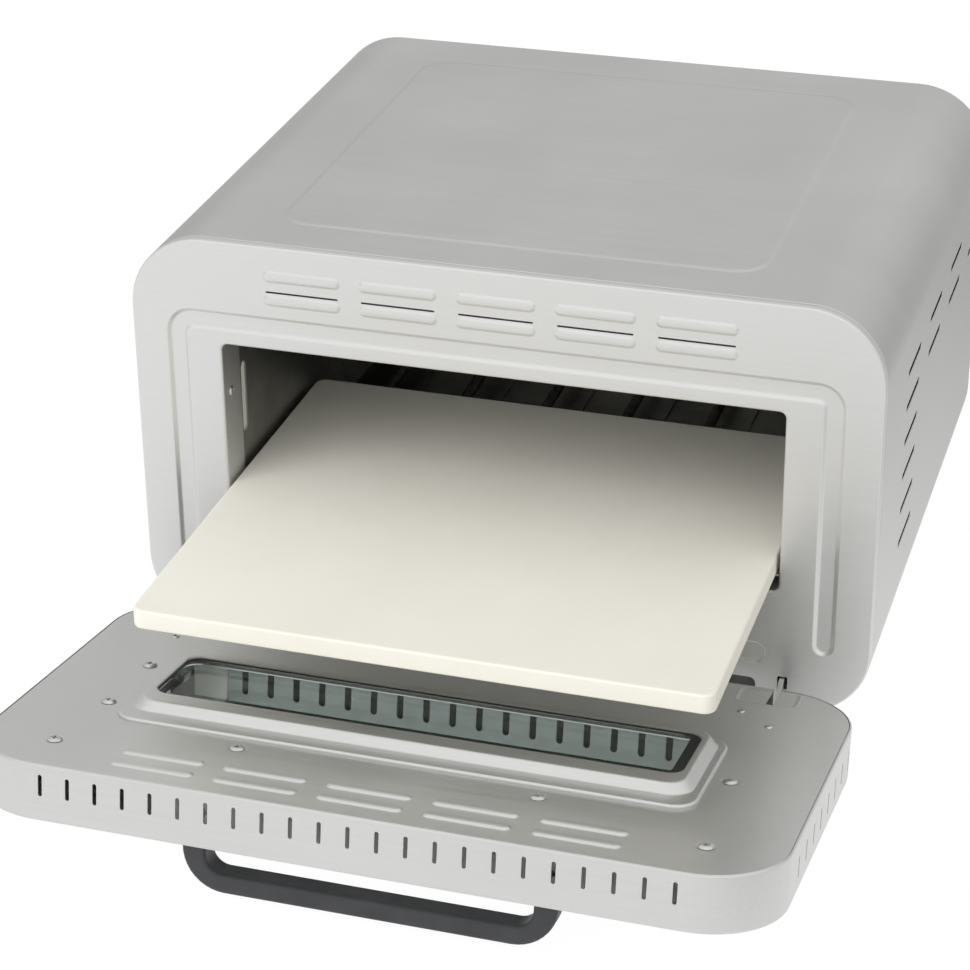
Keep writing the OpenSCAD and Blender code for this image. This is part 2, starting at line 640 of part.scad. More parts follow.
// ---- door ----
module hinge_notch() both_sides() block([arm_x - arm_t / 2 - 0.6, hinge_y - 5, -over],
    [arm_x + arm_t / 2 + 0.6, 0, hinge_z + 19.5]);
door_slot_y = door_in_y - door_slot_d0 - door_slot_l / 2;
module door_shell() color(panel_color) in_door() difference() {
    union() {
        xz(door_out_y, door_sheet) outline(0);
        xz(door_out_y, door_t) difference() {
            outline(0);
            outline(door_sheet);
        }
    }
    xz(door_out_y - over, door_sheet + 2 * over) rounded(-outer_window_hw, outer_window_hw, outer_window_z0,
        outer_window_z1, 8);
    xy(body_h - door_sheet - over, door_sheet + 2 * over) for (i = [0:door_slots - 1])
        translate([(i - (door_slots - 1) / 2) * door_slot_pitch, door_slot_y]) slot_y(door_slot_l, door_slot_w);
    both_sides() yz(hw - door_sheet - over, door_sheet + 2 * over) for (i = [0:side_slots - 1])
        translate([door_in_y - side_slot_d0 - door_slot_l / 2, side_slot_z0 + i * side_slot_pitch])
            slot_x(door_slot_l, door_slot_w);
    hinge_notch();
    both_sides() rod_y(handle_hw - handle_leg / 2, door_out_y - over, handle_z, 3, 2.1);
}
pad_h = 2.5;
module door_inner_panel() color(panel_color) in_door() difference() {
    union() {
        xz(door_in_y - door_sheet, door_sheet) outline(door_sheet + door_edge);
        intersection() {
            xz(door_in_y - door_sheet, door_sheet + pad_h) outline(door_sheet + door_edge);
            both_sides() xz(door_in_y - door_sheet, door_sheet + pad_h)
                rounded(arm_x - 21, arm_x + 18, -20, hinge_z + 21, 6);
        }
        hoods(door_in_y, 1, door_rows, 0);
    }
    xz(door_in_y - door_sheet - over, 2 * over + door_sheet) rounded(-ring_hw - 1, ring_hw + 1, ring_z0 - 0.5,
        ring_z1 + 1, 10);
    intersection() {
        both_sides() xz(door_in_y - door_sheet - over, pad_h + over)
            rounded(arm_x - 20, arm_x + 17, -20, hinge_z + 20, 5);
        xz(door_in_y - door_sheet - over, pad_h + over) outline(2 * door_sheet + door_edge);
    }
    difference() {
        hoods(door_in_y, 1, door_rows, 0.7);
        block([-hw, door_in_y - 3 * hood_r, 0], [hw, door_in_y - door_sheet, body_h]);
    }
    hinge_notch();
    for (p = door_screw_spots) rod_y(p[0], door_in_y - door_sheet - over, p[1], 2 * over + door_sheet, 1.9);
    both_sides() for (p = hinge_screw_spots)
        rod_y(p[0], door_in_y - door_sheet - over, p[1], 2 * over + door_sheet, 1.5);
}
door_screw_spots = [for (d = [edge_screw_low, edge_screw_mid]) [edge_screw_side - hw, body_h - d],
    [top_screw_side - hw, body_h - top_screw_drop], [-inner_screw_x, body_h - inner_screw_drop],
    [inner_screw_x, body_h - inner_screw_drop], [hw - edge_screw_side, body_h - right_screw_drop],
    [hw - top_screw_side, body_h - top_screw_drop]];
module door_screws() color(zinc_color) in_door() for (p = door_screw_spots)
    translate([p[0], door_in_y, p[1]]) rotate([0, 0, 180]) dome_screw(4.3, 2, 1.8, 12);

// ---- window ----
module ring_hull(inset) hull() {
    xz(door_in_y + ledge_proud - 0.1, 0.1) ring_shape(ring_hw + 5 - inset, ring_z0 - 2.5 + inset,
        ring_z1 + 3.5 - inset, 13 - inset);
    xz(door_in_y + ring_proud - inset - 0.1, 0.1) ring_shape(ring_hw - inset, ring_z0 + inset,
        ring_z1 - inset, 12 - inset);
}
module ring_shape(x, z0, z1, r) {
    $fn = hull_fn;
    rounded(-x, x, z0, z1, r);
}
module window_frame() color(panel_color) in_door() difference() {
    union() {
        ring_hull(0);
        xz(door_in_y, ledge_proud) rounded(-ring_hw - 10, ring_hw + 10, ring_z0 - 4.5, ring_z1 + 15.5, 14);
    }
    ring_hull(door_sheet);
    xz(door_in_y - over, ledge_proud + over) rounded(-ring_hw - 3, ring_hw + 3, ring_z0 - 1, ring_z1 + 2, 11);
    xz(door_in_y, ring_proud + over)
        rounded(-pane_hw - 0.8, pane_hw + 0.8, pane_z0 - 0.8, pane_z0 + pane_h + 0.8, 8.8);
}
module window_gasket() color(dark_color) in_door() xz(pane_y1, gasket_t) difference() {
    rounded(-pane_hw - pane_lap, pane_hw + pane_lap, pane_z0 - pane_lap, pane_z0 + pane_h + pane_lap, 9);
    rounded(-pane_hw, pane_hw, pane_z0, pane_z0 + pane_h, 8);
}
module window_inner_glass() color(glass_color) in_door() xz(pane_y1 - glass_t, glass_t)
    rounded(-pane_hw - pane_lap, pane_hw + pane_lap, pane_z0 - 5, pane_z0 + pane_h + 12, 6);
module window_outer_glass() color(glass_color) in_door() xz(door_out_y + door_sheet, glass_t)
    rounded(-outer_window_hw - outer_lap, outer_window_hw + outer_lap, outer_window_z0 - outer_lap,
        outer_window_z1 + outer_lap, 6);
module glass_clips() color(zinc_color) in_door() both_sides() for (z = [pane_z0 + 8, pane_z0 + pane_h - 18]) {
    y = door_in_y - door_sheet;
    block([pane_hw - 2, y - 1.2, z], [ring_hw + 9, y, z + 10]);
    block([pane_hw - 2, y - 1.2, z], [pane_hw + 2, pane_y1 - glass_t, z + 10]);
}
// slotted wall that stands between the panes, folded from the lip that carries it
module door_baffle() color([0.43, 0.46, 0.45]) in_door() difference() {
    union() {
        block([-baffle_hw, baffle_y1 - baffle_t, baffle_z - baffle_lip], [baffle_hw, baffle_y1, baffle_z]);
        block([-baffle_hw, baffle_y0, baffle_z - baffle_t], [baffle_hw, baffle_y1, baffle_z]);
    }
    for (i = [-8:8]) xy(baffle_z - baffle_t - over, baffle_t + 2 * over)
        translate([i * baffle_pitch, (baffle_y0 + baffle_y1) / 2 + 1.2])
            slot_y(baffle_y1 - baffle_y0 - 8.4, baffle_slot_w);
}
baffle_t = 1;
baffle_lip = 12;
baffle_hw = 8 * baffle_pitch + 10.6;
baffle_z = outer_window_z0 + 4;
baffle_y0 = door_out_y + door_sheet + glass_t + 0.3;
baffle_y1 = door_in_y - door_sheet;

// ---- handle ----
module handle_profile() {
    r = 25;
    ri = 10;
    inner = handle_hw - handle_leg;
    bar_y = handle_out - handle_bar;
    difference() {
        union() {
            translate([-handle_hw, 0]) square([2 * handle_hw, handle_out - r]);
            translate([r - handle_hw, 0]) square([2 * handle_hw - 2 * r, handle_out]);
            for (s = [-1, 1]) translate([s * (handle_hw - r), handle_out - r]) circle(r);
        }
        translate([-inner, -over]) square([2 * inner, bar_y - ri + over]);
        translate([ri - inner, -over]) square([2 * inner - 2 * ri, bar_y + over]);
        for (s = [-1, 1]) translate([s * (inner - ri), bar_y - ri]) circle(ri);
        translate([-handle_hw - over, -2 * r]) square([2 * handle_hw + 2 * over, 2 * r]);
    }
}
module door_handle() color(dark_color) in_door() difference() {
    translate([0, door_out_y, handle_z - handle_w / 2]) mirror([0, 1, 0])
        linear_extrude(handle_w) handle_profile();
    both_sides() rod_y(handle_hw - handle_leg / 2, door_out_y - 20, handle_z, 20 + over, 2.05);
}
module handle_screws() color(zinc_color) in_door() both_sides()
    translate([handle_hw - handle_leg / 2, door_out_y + door_sheet, handle_z]) rotate([0, 0, 180])
        dome_screw(4.5, 2.4, 2, 18);

// ---- stone ----
module baking_stone() color(stone_color) in_body()
    xy(stone_z, stone_t) rounded(-stone_hw, stone_hw, -stone_out, stone_d - stone_out, stone_r);

// ---- controls ----
bush_r = 4.8;
lamp_r = 4;
lamp_z = body_h - knob_top + knob_r + 9;
plate_t = 1.5;
module control_plate() color(dark_color) in_body() difference() {
    yz(-hw - plate_t, plate_t) rounded(knob_y - knob_r - 12, knob_y + knob_r + 12, knob_z - knob_r - 8,
        lamp_z + 9, 8);
    for (i = [0:2])
        rod_x(-hw - plate_t - over, knob_y, knob_z + i * knob_pitch, plate_t + 2 * over, bush_r + 0.2);
    rod_x(-hw - plate_t - over, knob_y, lamp_z, plate_t + 2 * over, lamp_r + 0.2);
}
bush_end = hw + plate_t + 2;
module switch_body(i, deep, size) in_body() translate([0, knob_y, knob_z + i * knob_pitch]) difference() {
    union() {
        rod_x(-hw + sheet_t, 0, 0, deep, size);
        rod_x(-bush_end, 0, 0, bush_end - hw + sheet_t + 2, bush_r);
    }
    rod_x(-bush_end - over, 0, 0, 16, spindle_r + spindle_fit);
}
module upper_thermostat() color(zinc_color) switch_body(2, 22, 17);
module lower_thermostat() color(zinc_color) switch_body(1, 22, 17);
module timer() color([0.8, 0.78, 0.7]) switch_body(0, 34, 20);
module spindle(i) color(zinc_color) in_body() translate([0, knob_y, knob_z + i * knob_pitch])
    rod_x(-hw - knob_reach + 5, 0, 0, knob_reach + 6, spindle_r);
module knob(i) color(dark_color) in_body() translate([-bush_end - 0.8, knob_y, knob_z + i * knob_pitch])
    rotate([0, -90, 0]) difference() {
        l = hw + knob_reach - bush_end - 0.8;
        union() {
            cylinder(l - 1.5, knob_r, knob_r - 1.5);
            translate([0, 0, l - 1.5]) cylinder(1.5, knob_r - 1.5, knob_r - 3);
        }
        translate([0, 0, -over]) cylinder(l - 5 + over, spindle_r + 0.02, spindle_r + 0.02);
        translate([knob_r - 10, -0.8, l - 1]) cube([7, 1.6, 2]);
    }
module pilot_lamp() color([0.9, 0.25, 0.1]) in_body() union() {
    rod_x(-hw - plate_t - 1.5, knob_y, lamp_z, 18, lamp_r);
    rod_x(-hw - plate_t - 1.5, knob_y, lamp_z, 1.5, lamp_r + 1);
}

// ---- inlet ----
terminal_y = back_y - 8.6 - terminal_w;
module terminal_block() color([0.88, 0.86, 0.78]) in_body() difference() {
    block([-gland_x - terminal_l / 2, terminal_y, pan_top],
        [-gland_x + terminal_l / 2, terminal_y + terminal_w, pan_top + terminal_h]);
    for (i = [-1:1])
        translate([-gland_x + i * terminal_pitch, terminal_y + terminal_w / 2, pan_top + terminal_h - 8])
        cylinder(8 + over, 3, 3);
}
module cord_gland() color(dark_color) in_body() difference() {
    union() {
        rod_y(-gland_x, back_y - 6, gland_z, 6 + sheet_t, cord_r + 3);
        rod_y(-gland_x, back_y + sheet_t, gland_z, 3, cord_r + 7);
        rod_y(-gland_x, back_y + sheet_t, gland_z, body_d + gland_out - back_y - sheet_t, cord_r + 3.5);
        rod_y(-gland_x, back_y - 4, gland_z, 4, cord_r + 6);
    }
    rod_y(-gland_x, back_y - 6 - over, gland_z, body_d, cord_r);
}

wrap_casing();
front_panel();
back_panel();
base_pan();
feet();
foot_screws();
casing_screws();
cavity_sides();
cavity_top();
cavity_floor();
cavity_back();
cavity_legs();
stone_rails();
jamb_screws();
upper_heater();
lower_heater();
heater_brackets();
heater_terminals();
heat_shield();
roof_blanket();
vent_baffle();
hinge_arms();
arm_brackets();
upper_thermostat();
lower_thermostat();
timer();
control_plate();
pilot_lamp();
sensor_bulbs();
terminal_block();
cord_gland();
door_shell();
door_inner_panel();
window_frame();
window_gasket();
window_inner_glass();
window_outer_glass();
glass_clips();
door_baffle();
door_screws();
hinge_brackets();
hinge_pins();
hinge_screws();
door_handle();
handle_screws();
baking_stone();
knob(2);  // upper_knob
knob(1);  // lower_knob
knob(0);  // timer_knob
spindle(2);  // upper_spindle
spindle(1);  // lower_spindle
spindle(0);  // timer_spindle
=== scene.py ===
import json
import math
import bmesh
import bpy
import numpy as np
from mathutils import Matrix, Vector
from mathutils.geometry import delaunay_2d_cdt


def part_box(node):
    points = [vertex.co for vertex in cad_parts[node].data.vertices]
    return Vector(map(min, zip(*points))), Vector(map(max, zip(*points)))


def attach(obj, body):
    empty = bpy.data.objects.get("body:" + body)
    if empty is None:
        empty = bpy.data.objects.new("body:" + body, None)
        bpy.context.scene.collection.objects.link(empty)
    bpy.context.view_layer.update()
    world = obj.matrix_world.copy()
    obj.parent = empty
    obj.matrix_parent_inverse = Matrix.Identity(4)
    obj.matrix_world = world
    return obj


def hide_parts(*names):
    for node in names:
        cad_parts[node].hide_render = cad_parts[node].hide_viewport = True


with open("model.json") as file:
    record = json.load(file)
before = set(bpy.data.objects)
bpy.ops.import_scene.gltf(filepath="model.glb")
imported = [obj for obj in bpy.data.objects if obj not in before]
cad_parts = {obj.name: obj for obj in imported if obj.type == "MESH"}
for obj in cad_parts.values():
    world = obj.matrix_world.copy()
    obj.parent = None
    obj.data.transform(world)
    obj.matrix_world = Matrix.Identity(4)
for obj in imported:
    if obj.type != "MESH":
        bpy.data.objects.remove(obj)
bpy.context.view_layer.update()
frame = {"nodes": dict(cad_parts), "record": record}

nodes = frame["nodes"]

# sizes below are millimetres in the oven's own axes: x to the right, y inwards from the front face,
# z up from the body's underside
oven = dict(halfWidth=225, height=260, depth=375, cornerR=46, hingeY=-22, hingeZ=6, openAngle=80.23,
            doorIn=-4, doorOut=-37, mouthHw=169.4, mouthZ0=80, mouthZ1=194.7, casingBehind=6.8)

casingLow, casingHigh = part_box("wrap_casing")
origin = Vector(((casingLow.x + casingHigh.x) / 2, casingLow.y - oven["casingBehind"] / 1000, casingLow.z))
bodyAxes = Matrix.Translation(origin) @ Matrix.Scale(0.001, 4)
doorAxes = (bodyAxes @ Matrix.Translation((0, oven["hingeY"], oven["hingeZ"]))
            @ Matrix.Rotation(math.radians(oven["openAngle"]), 4, "X")
            @ Matrix.Translation((0, -oven["hingeY"], -oven["hingeZ"])))


# where the photograph was taken from: millimetres, degrees and pixels
camera = dict(at=(437.98, -1442.12, 913.12), turn=17.974985, down=27.545285, roll=-0.942752,
              focal=2901.62, centre=(448.018, 482.875), picture=970, sensor=36)


def addCamera():
    turn, down, roll = (math.radians(camera[k]) for k in ("turn", "down", "roll"))
    ahead = Vector((-math.sin(turn) * math.cos(down), math.cos(turn) * math.cos(down), -math.sin(down)))
    level = Vector((math.cos(turn), math.sin(turn), 0))
    upright = level.cross(ahead)
    right = level * math.cos(roll) + upright * math.sin(roll)
    up = upright * math.cos(roll) - level * math.sin(roll)
    lens = bpy.data.cameras.new("ovenCamera")
    lens.sensor_width = camera["sensor"]
    lens.lens = camera["sensor"] * camera["focal"] / camera["picture"]
    lens.shift_x = (camera["picture"] / 2 - camera["centre"][0]) / camera["picture"]
    lens.shift_y = (camera["centre"][1] - camera["picture"] / 2) / camera["picture"]
    lens.clip_start, lens.clip_end = 0.05, 50
    cam = bpy.data.objects.new("ovenCamera", lens)
    bpy.context.scene.collection.objects.link(cam)
    cam.matrix_world = Matrix.Translation(bodyAxes @ Vector(camera["at"])) @ Matrix(
        (right, up, -ahead)).transposed().to_4x4()
    bpy.context.scene.camera = cam


addCamera()
print("camera placed")


def startMaterial(name):
    material = bpy.data.materials.new(name)
    material.use_nodes = True
    tree = material.node_tree
    return material, tree, tree.nodes["Principled BSDF"]


def put(tree, kind, links=(), **settings):
    # adds a node; links are (input name, output socket)
    node = tree.nodes.new(kind)
    for key, value in settings.items():
        if hasattr(node, key):
            setattr(node, key, value)
        else:
            node.inputs[key.replace("_", " ")].default_value = value
    for key, source in links:
        tree.links.new(source, node.inputs[key])
    return node


def spots(tree, coords, scale, detail=3, rough=0.55, stretch=(1, 1, 1)):
    # one layer of noise over coordinates in metres
    mapped = put(tree, "ShaderNodeMapping", [("Vector", coords)])
    mapped.inputs["Scale"].default_value = [scale * s for s in stretch]
    return put(tree, "ShaderNodeTexNoise", [("Vector", mapped.outputs[0])], Scale=1, Detail=detail,
               Roughness=rough).outputs["Fac"]


def spread(tree, value, low, high, fromLow=0.3, fromHigh=0.7):
    node = put(tree, "ShaderNodeMapRange", [("Value", value)])
    for key, v in (("From Min", fromLow), ("From Max", fromHigh), ("To Min", low), ("To Max", high)):
        node.inputs[key].default_value = v
    return node.outputs[0]


def tinted(tree, factor, dark, light):
    mix = put(tree, "ShaderNodeMix", data_type="RGBA")
    tree.links.new(factor, mix.inputs["Factor"])
    mix.inputs["A"].default_value = (*dark, 1)
    mix.inputs["B"].default_value = (*light, 1)
    return mix.outputs["Result"]


def bumped(tree, shader, heights):
    # heights are (value, strength, distance in metres), the later ones over the earlier ones
    normal = None
    for value, strength, distance in heights:
        links = [("Height", value)] + ([("Normal", normal)] if normal else [])
        normal = put(tree, "ShaderNodeBump", links, Strength=strength, Distance=distance).outputs[0]
    tree.links.new(normal, shader.inputs["Normal"])


def brushedSteel(name, dark, light, roughness, grain=(6, 900, 900), streak=0.3, metallic=1.0):
    # satin steel sheet with a fine grain along the sheet's first direction
    material, tree, shader = startMaterial(name)
    coords = put(tree, "ShaderNodeAttribute", attribute_name="grain").outputs["Vector"]
    fine = spots(tree, coords, 1, 5, 0.6, grain)
    broad = spots(tree, coords, 7, 3, 0.5)
    blend = put(tree, "ShaderNodeMix", [("A", fine), ("B", broad)], Factor=0.5).outputs["Result"]
    colour = tinted(tree, spread(tree, blend, 0, 1, 0.35, 0.65), dark, light)
    tree.links.new(colour, shader.inputs["Base Color"])
    tree.links.new(spread(tree, blend, roughness - 0.05, roughness + 0.07, 0.35, 0.65),
                   shader.inputs["Roughness"])
    shader.inputs["Metallic"].default_value = metallic
    bumped(tree, shader, [(fine, streak, 0.00004)])
    return material


def sheetSteel(name, dark, light, roughness, scale=60, metallic=1.0, bump=0.15):
    # pressed or plated sheet with soft uneven patches, for pieces without a grain direction
    material, tree, shader = startMaterial(name)
    coords = put(tree, "ShaderNodeTexCoord").outputs["Object"]
    patches = spots(tree, coords, scale, 5, 0.6)
    fine = spots(tree, coords, scale * 14, 3, 0.6)
    tree.links.new(tinted(tree, spread(tree, patches, 0, 1), dark, light), shader.inputs["Base Color"])
    tree.links.new(spread(tree, patches, roughness + 0.06, roughness - 0.06), shader.inputs["Roughness"])
    shader.inputs["Metallic"].default_value = metallic
    bumped(tree, shader, [(fine, bump, 0.00006)])
    return material


def mouldedPlastic(name, dark, light, roughness, grain=1500, bump=0.25):
    material, tree, shader = startMaterial(name)
    coords = put(tree, "ShaderNodeTexCoord").outputs["Object"]
    fine = spots(tree, coords, grain, 2, 0.5)
    broad = spots(tree, coords, 40, 3, 0.5)
    tree.links.new(tinted(tree, spread(tree, broad, 0, 1), dark, light), shader.inputs["Base Color"])
    tree.links.new(spread(tree, fine, roughness - 0.06, roughness + 0.06), shader.inputs["Roughness"])
    bumped(tree, shader, [(fine, bump, 0.0001)])
    return material


def firedStone(name, dark, light, roughness, speck=900):
    # cordierite or ceramic: matt, fine-grained, with faint clouds
    material, tree, shader = startMaterial(name)
    coords = put(tree, "ShaderNodeTexCoord").outputs["Object"]
    clouds = spots(tree, coords, 9, 4, 0.6)
    specks = spots(tree, coords, speck, 4, 0.7)
    blend = put(tree, "ShaderNodeMix", [("A", clouds), ("B", specks)], Factor=0.4).outputs["Result"]
    colour = tinted(tree, spread(tree, blend, 0, 1, 0.35, 0.65), dark, light)
    tree.links.new(colour, shader.inputs["Base Color"])
    tree.links.new(spread(tree, specks, roughness - 0.05, roughness + 0.1), shader.inputs["Roughness"])
    bumped(tree, shader, [(specks, 0.35, 0.0001)])
    return material


def windowGlass(name):
    # thin pane: a clear film for what lies behind, with a mirror share that grows at flat angles
    material, tree, shader = startMaterial(name)
    coords = put(tree, "ShaderNodeTexCoord").outputs["Object"]
    film = spots(tree, coords, 25, 4, 0.6)
    clear = put(tree, "ShaderNodeBsdfTransparent")
    tree.links.new(tinted(tree, spread(tree, film, 0, 1), (0.94, 0.965, 0.955), (0.965, 0.985, 0.975)),
                   clear.inputs["Color"])
    shader.inputs["Base Color"].default_value = (0.9, 0.92, 0.91, 1)
    shader.inputs["Metallic"].default_value = 1
    tree.links.new(spread(tree, film, 0.01, 0.05), shader.inputs["Roughness"])
    edge = put(tree, "ShaderNodeLayerWeight", Blend=0.28)
    mirror = spread(tree, edge.outputs["Fresnel"], 0.012, 0.12, 0, 1)
    mix = put(tree, "ShaderNodeMixShader", [("Fac", mirror)])
    tree.links.new(clear.outputs[0], mix.inputs[1])
    tree.links.new(shader.outputs[0], mix.inputs[2])
    tree.links.new(mix.outputs[0], tree.nodes["Material Output"].inputs["Surface"])
    return material


def lampLens(name):
    material = mouldedPlastic(name, (0.75, 0.25, 0.08), (0.9, 0.32, 0.1), 0.2, 300, 0.05)
    shader = material.node_tree.nodes["Principled BSDF"]
    shader.inputs["Coat Weight"].default_value = 0.4
    return material


finishes = {
    "casing": brushedSteel("brushedCasing", (0.555, 0.555, 0.54), (0.63, 0.63, 0.615), 0.33),
    "panel": brushedSteel("satinPanel", (0.70, 0.70, 0.69), (0.74, 0.74, 0.73), 0.4, (12, 500, 500), 0.12,
                          0.85),
    # the door's sheets take a darker copy of the panel's satin steel: painted shade, for the door's sides
    # that take less light
    "door_panel": brushedSteel("shadedSatinDoor", (0.62, 0.62, 0.61), (0.67, 0.67, 0.66), 0.36, (10, 500, 500),
                               0.15, 0.85),
    "inner_sheet": sheetSteel("dulledSheet", (0.31, 0.31, 0.295), (0.43, 0.43, 0.41), 0.4, 30),
    "zinc": sheetSteel("zincPlate", (0.52, 0.52, 0.50), (0.70, 0.70, 0.68), 0.34, 160),
    "baffle": sheetSteel("greySheet", (0.44, 0.475, 0.46), (0.51, 0.545, 0.53), 0.5, 70, 0.1),
    "heater": sheetSteel("heaterTube", (0.10, 0.095, 0.09), (0.20, 0.19, 0.18), 0.45, 120, 0.8),
    "glass": windowGlass("windowGlass"),
    "gasket": mouldedPlastic("blackSeal", (0.008, 0.008, 0.008), (0.02, 0.02, 0.02), 0.5),
    "stone": firedStone("creamStone", (0.87, 0.845, 0.745), (0.92, 0.90, 0.81), 0.75),
    "ceramic": firedStone("whiteCeramic", (0.76, 0.74, 0.68), (0.84, 0.82, 0.77), 0.5, 500),
    "blanket": firedStone("fibreBlanket", (0.60, 0.57, 0.50), (0.76, 0.74, 0.68), 0.95, 350),
    "handle": mouldedPlastic("blackHandle", (0.028, 0.029, 0.032), (0.045, 0.046, 0.05), 0.5),
    "knob": mouldedPlastic("blackKnob", (0.02, 0.02, 0.022), (0.036, 0.036, 0.04), 0.38),
    "foot": mouldedPlastic("rubberFoot", (0.015, 0.015, 0.015), (0.035, 0.035, 0.034), 0.7),
    "control": mouldedPlastic("controlPlate", (0.025, 0.025, 0.027), (0.04, 0.04, 0.043), 0.48),
    "lamp": lampLens("amberLens"),
    "copper": sheetSteel("copperBulb", (0.62, 0.30, 0.18), (0.78, 0.42, 0.28), 0.3, 150),
    "moulding": mouldedPlastic("paleMoulding", (0.50, 0.48, 0.42), (0.62, 0.60, 0.54), 0.5),
}
# the plate behind the low vent takes a darker copy of its slot's finish: painted shade, for the shade that
# falls behind the vent
ventPaintedShade = sheetSteel("ventPaintedShade", (0.10, 0.10, 0.10), (0.15, 0.15, 0.148), 0.55, 70, 0.2)
slotOf = {part["node"]: part["material_slot"] for part in frame["record"]["subparts"]}
for nodeName, cadObject in nodes.items():
    cadObject.data.materials.clear()
    cadObject.data.materials.append(ventPaintedShade if nodeName == "vent_baffle" else finishes[slotOf[nodeName]])
print("materials made:", len(finishes))


def roundedLoop(x0, x1, z0, z1, r, grow=0, steps=12):
    # rounded rectangle, anticlockwise, grown or shrunk evenly
    x0, x1, z0, z1, r = x0 - grow, x1 + grow, z0 - grow, z1 + grow, max(r + grow, 0.01)
    points = []
    centres = ((x1 - r, z0 + r), (x1 - r, z1 - r), (x0 + r, z1 - r), (x0 + r, z0 + r))
    for (x, z), start in zip(centres, (-90, 0, 90, 180)):
        for i in range(steps + 1):
            a = math.radians(start + 90 * i / steps)
            points.append((x + r * math.cos(a), z + r * math.sin(a)))
    return points


def slotLoop(x, z, length, width, grow=0, steps=6):
    return roundedLoop(x - length / 2, x + length / 2, z - width / 2, z + width / 2,
                       min(length, width) / 2 - 0.005, grow, steps)


def shaped(loop, *sizes, **more):
    return lambda grow: loop(*sizes, grow=grow, **more)


def within(points, loop):
    # which points lie inside a closed loop
    x, y = points[:, 0], points[:, 1]
    result = np.zeros(len(points), bool)
    for (x0, y0), (x1, y1) in zip(loop, loop[1:] + loop[:1]):
        if y0 != y1:
            result ^= ((y0 > y) != (y1 > y)) & (x < (x1 - x0) * (y - y0) / (y1 - y0) + x0)
    return result


def fillFlat(verts, outer, holes=(), lines=()):
    # triangles between closed loops of vertex numbers; lines are extra folds that the flat has to follow
    loops = [outer, *holes]
    ids = [i for loop in loops for i in loop]
    coords = [Vector(verts[i][:2]) for i in ids]
    edges, start = [], 0
    for loop in loops:
        edges += [(start + i, start + (i + 1) % len(loop)) for i in range(len(loop))]
        start += len(loop)
    for a, b in lines:
        edges.append((len(coords), len(coords) + 1))
        coords += [Vector(a), Vector(b)]
    points, _, triangles, sources, _, _ = delaunay_2d_cdt(coords, edges, [], 0, 1e-7)
    index = []
    for point, source in zip(points, sources):
        known = [ids[s] for s in source if s < len(ids)]
        if known:
            index.append(known[0])
        else:
            index.append(len(verts))
            verts.append((point.x, point.y, verts[outer[0]][2]))
    middles = np.array([[sum(points[i][k] for i in t) / 3 for k in (0, 1)] for t in triangles])
    keep = within(middles, [verts[i][:2] for i in outer])
    for hole in holes:
        keep &= ~within(middles, [verts[i][:2] for i in hole])
    return [tuple(index[i] for i in t) for t, k in zip(triangles, keep) if k]


def pressedSheet(border, borderRows, features=(), lines=(), back=False):
    # a flat sheet: its border and each feature are loops, given row by row as (growth, height)
    verts, faces = [], []

    def addLoop(points, height):
        verts.extend((u, v, height) for u, v in points)
        return list(range(len(verts) - len(points), len(verts)))

    def addRows(shape, rows, ids):
        for grow, height in rows[1:]:
            new = addLoop(shape(grow), height)
            faces.extend((ids[i], ids[i - 1], new[i - 1], new[i]) for i in range(len(ids)))
            ids = new
        return ids

    outer = addLoop(border(borderRows[0][0]), borderRows[0][1])
    under = addRows(border, borderRows, outer)
    holes, through = [], []
    for shape, rows, filled in features:
        holes.append(addLoop(shape(rows[0][0]), rows[0][1]))
        last = addRows(shape, rows, holes[-1])
        if filled:
            faces.extend(fillFlat(verts, last))
        else:
            through.append(last)
    faces.extend(fillFlat(verts, outer, holes, lines))
    if back:
        faces.extend(fillFlat(verts, under, through))
    return verts, faces


def foldRows(r, depth, at=0, hole=False, steps=5):
    # from the flat over a bend of radius r down to a depth; a hole bends the other way
    side = -1 if hole else 1
    rows = [(at - side * r * (1 - math.sin(a)), -r * (1 - math.cos(a)))
            for a in (math.pi / 2 * i / steps for i in range(steps + 1))]
    return rows + ([(at, -depth)] if depth > r else [])


def swellRows(start, end, height, steps=6):
    # a soft step of a given height between two growths
    return [(start + (end - start) * t, height * (1 - math.cos(math.pi * t)) / 2)
            for t in (i / steps for i in range(steps + 1))]


def softPlate(shape, low, high, edge, features=(), steps=4):
    # a closed plate with rounded edges between two heights
    fold = foldRows(edge, 0, steps=steps)
    rows = [(g, high + h) for g, h in fold] + [(g, low - h) for g, h in reversed(fold)]
    return pressedSheet(shape, rows, features, back=True)


def joined(*sheets):
    verts, faces = [], []
    for moreVerts, moreFaces in sheets:
        faces += [tuple(i + len(verts) for i in f) for f in moreFaces]
        verts += moreVerts
    return verts, faces


def roundLoop(x, z, r, grow=0, steps=24):
    r = max(r + grow, 0.01)
    return [(x + r * math.cos(2 * math.pi * i / steps), z + r * math.sin(2 * math.pi * i / steps))
            for i in range(steps)]


def screw(x, z, at, headR, headH, shankR, length):
    # a domed cross-head screw: its head stands out of a face at a height, its shank goes in
    ball = (headR ** 2 + headH ** 2) / (2 * headH)
    flat = headR * 0.62
    dome = [(r - headR, at + headH - ball + math.sqrt(ball ** 2 - r ** 2))
            for r in (flat + (headR - 0.25 - flat) * i / 4 for i in range(5))]
    rows = dome + [(0, at), (shankR - headR, at), (shankR - headR, at - length)]
    arm, half = headR * 0.5, 0.5
    corners = [(arm, -half), (arm, half), (half, half), (half, arm), (-half, arm), (-half, half),
               (-arm, half), (-arm, -half), (-half, -half), (-half, -arm), (half, -arm), (half, -half)]

    def cross(grow):
        return [(x + (u + math.copysign(grow, u)), z + (v + math.copysign(grow, v))) for u, v in corners]

    top = dome[0][1]
    slot = [(0.12, top), (0, top - 0.15), (-0.12, top - headH * 0.6)]
    return pressedSheet(shaped(roundLoop, x, z, headR), rows, [(cross, slot, True)], back=True)


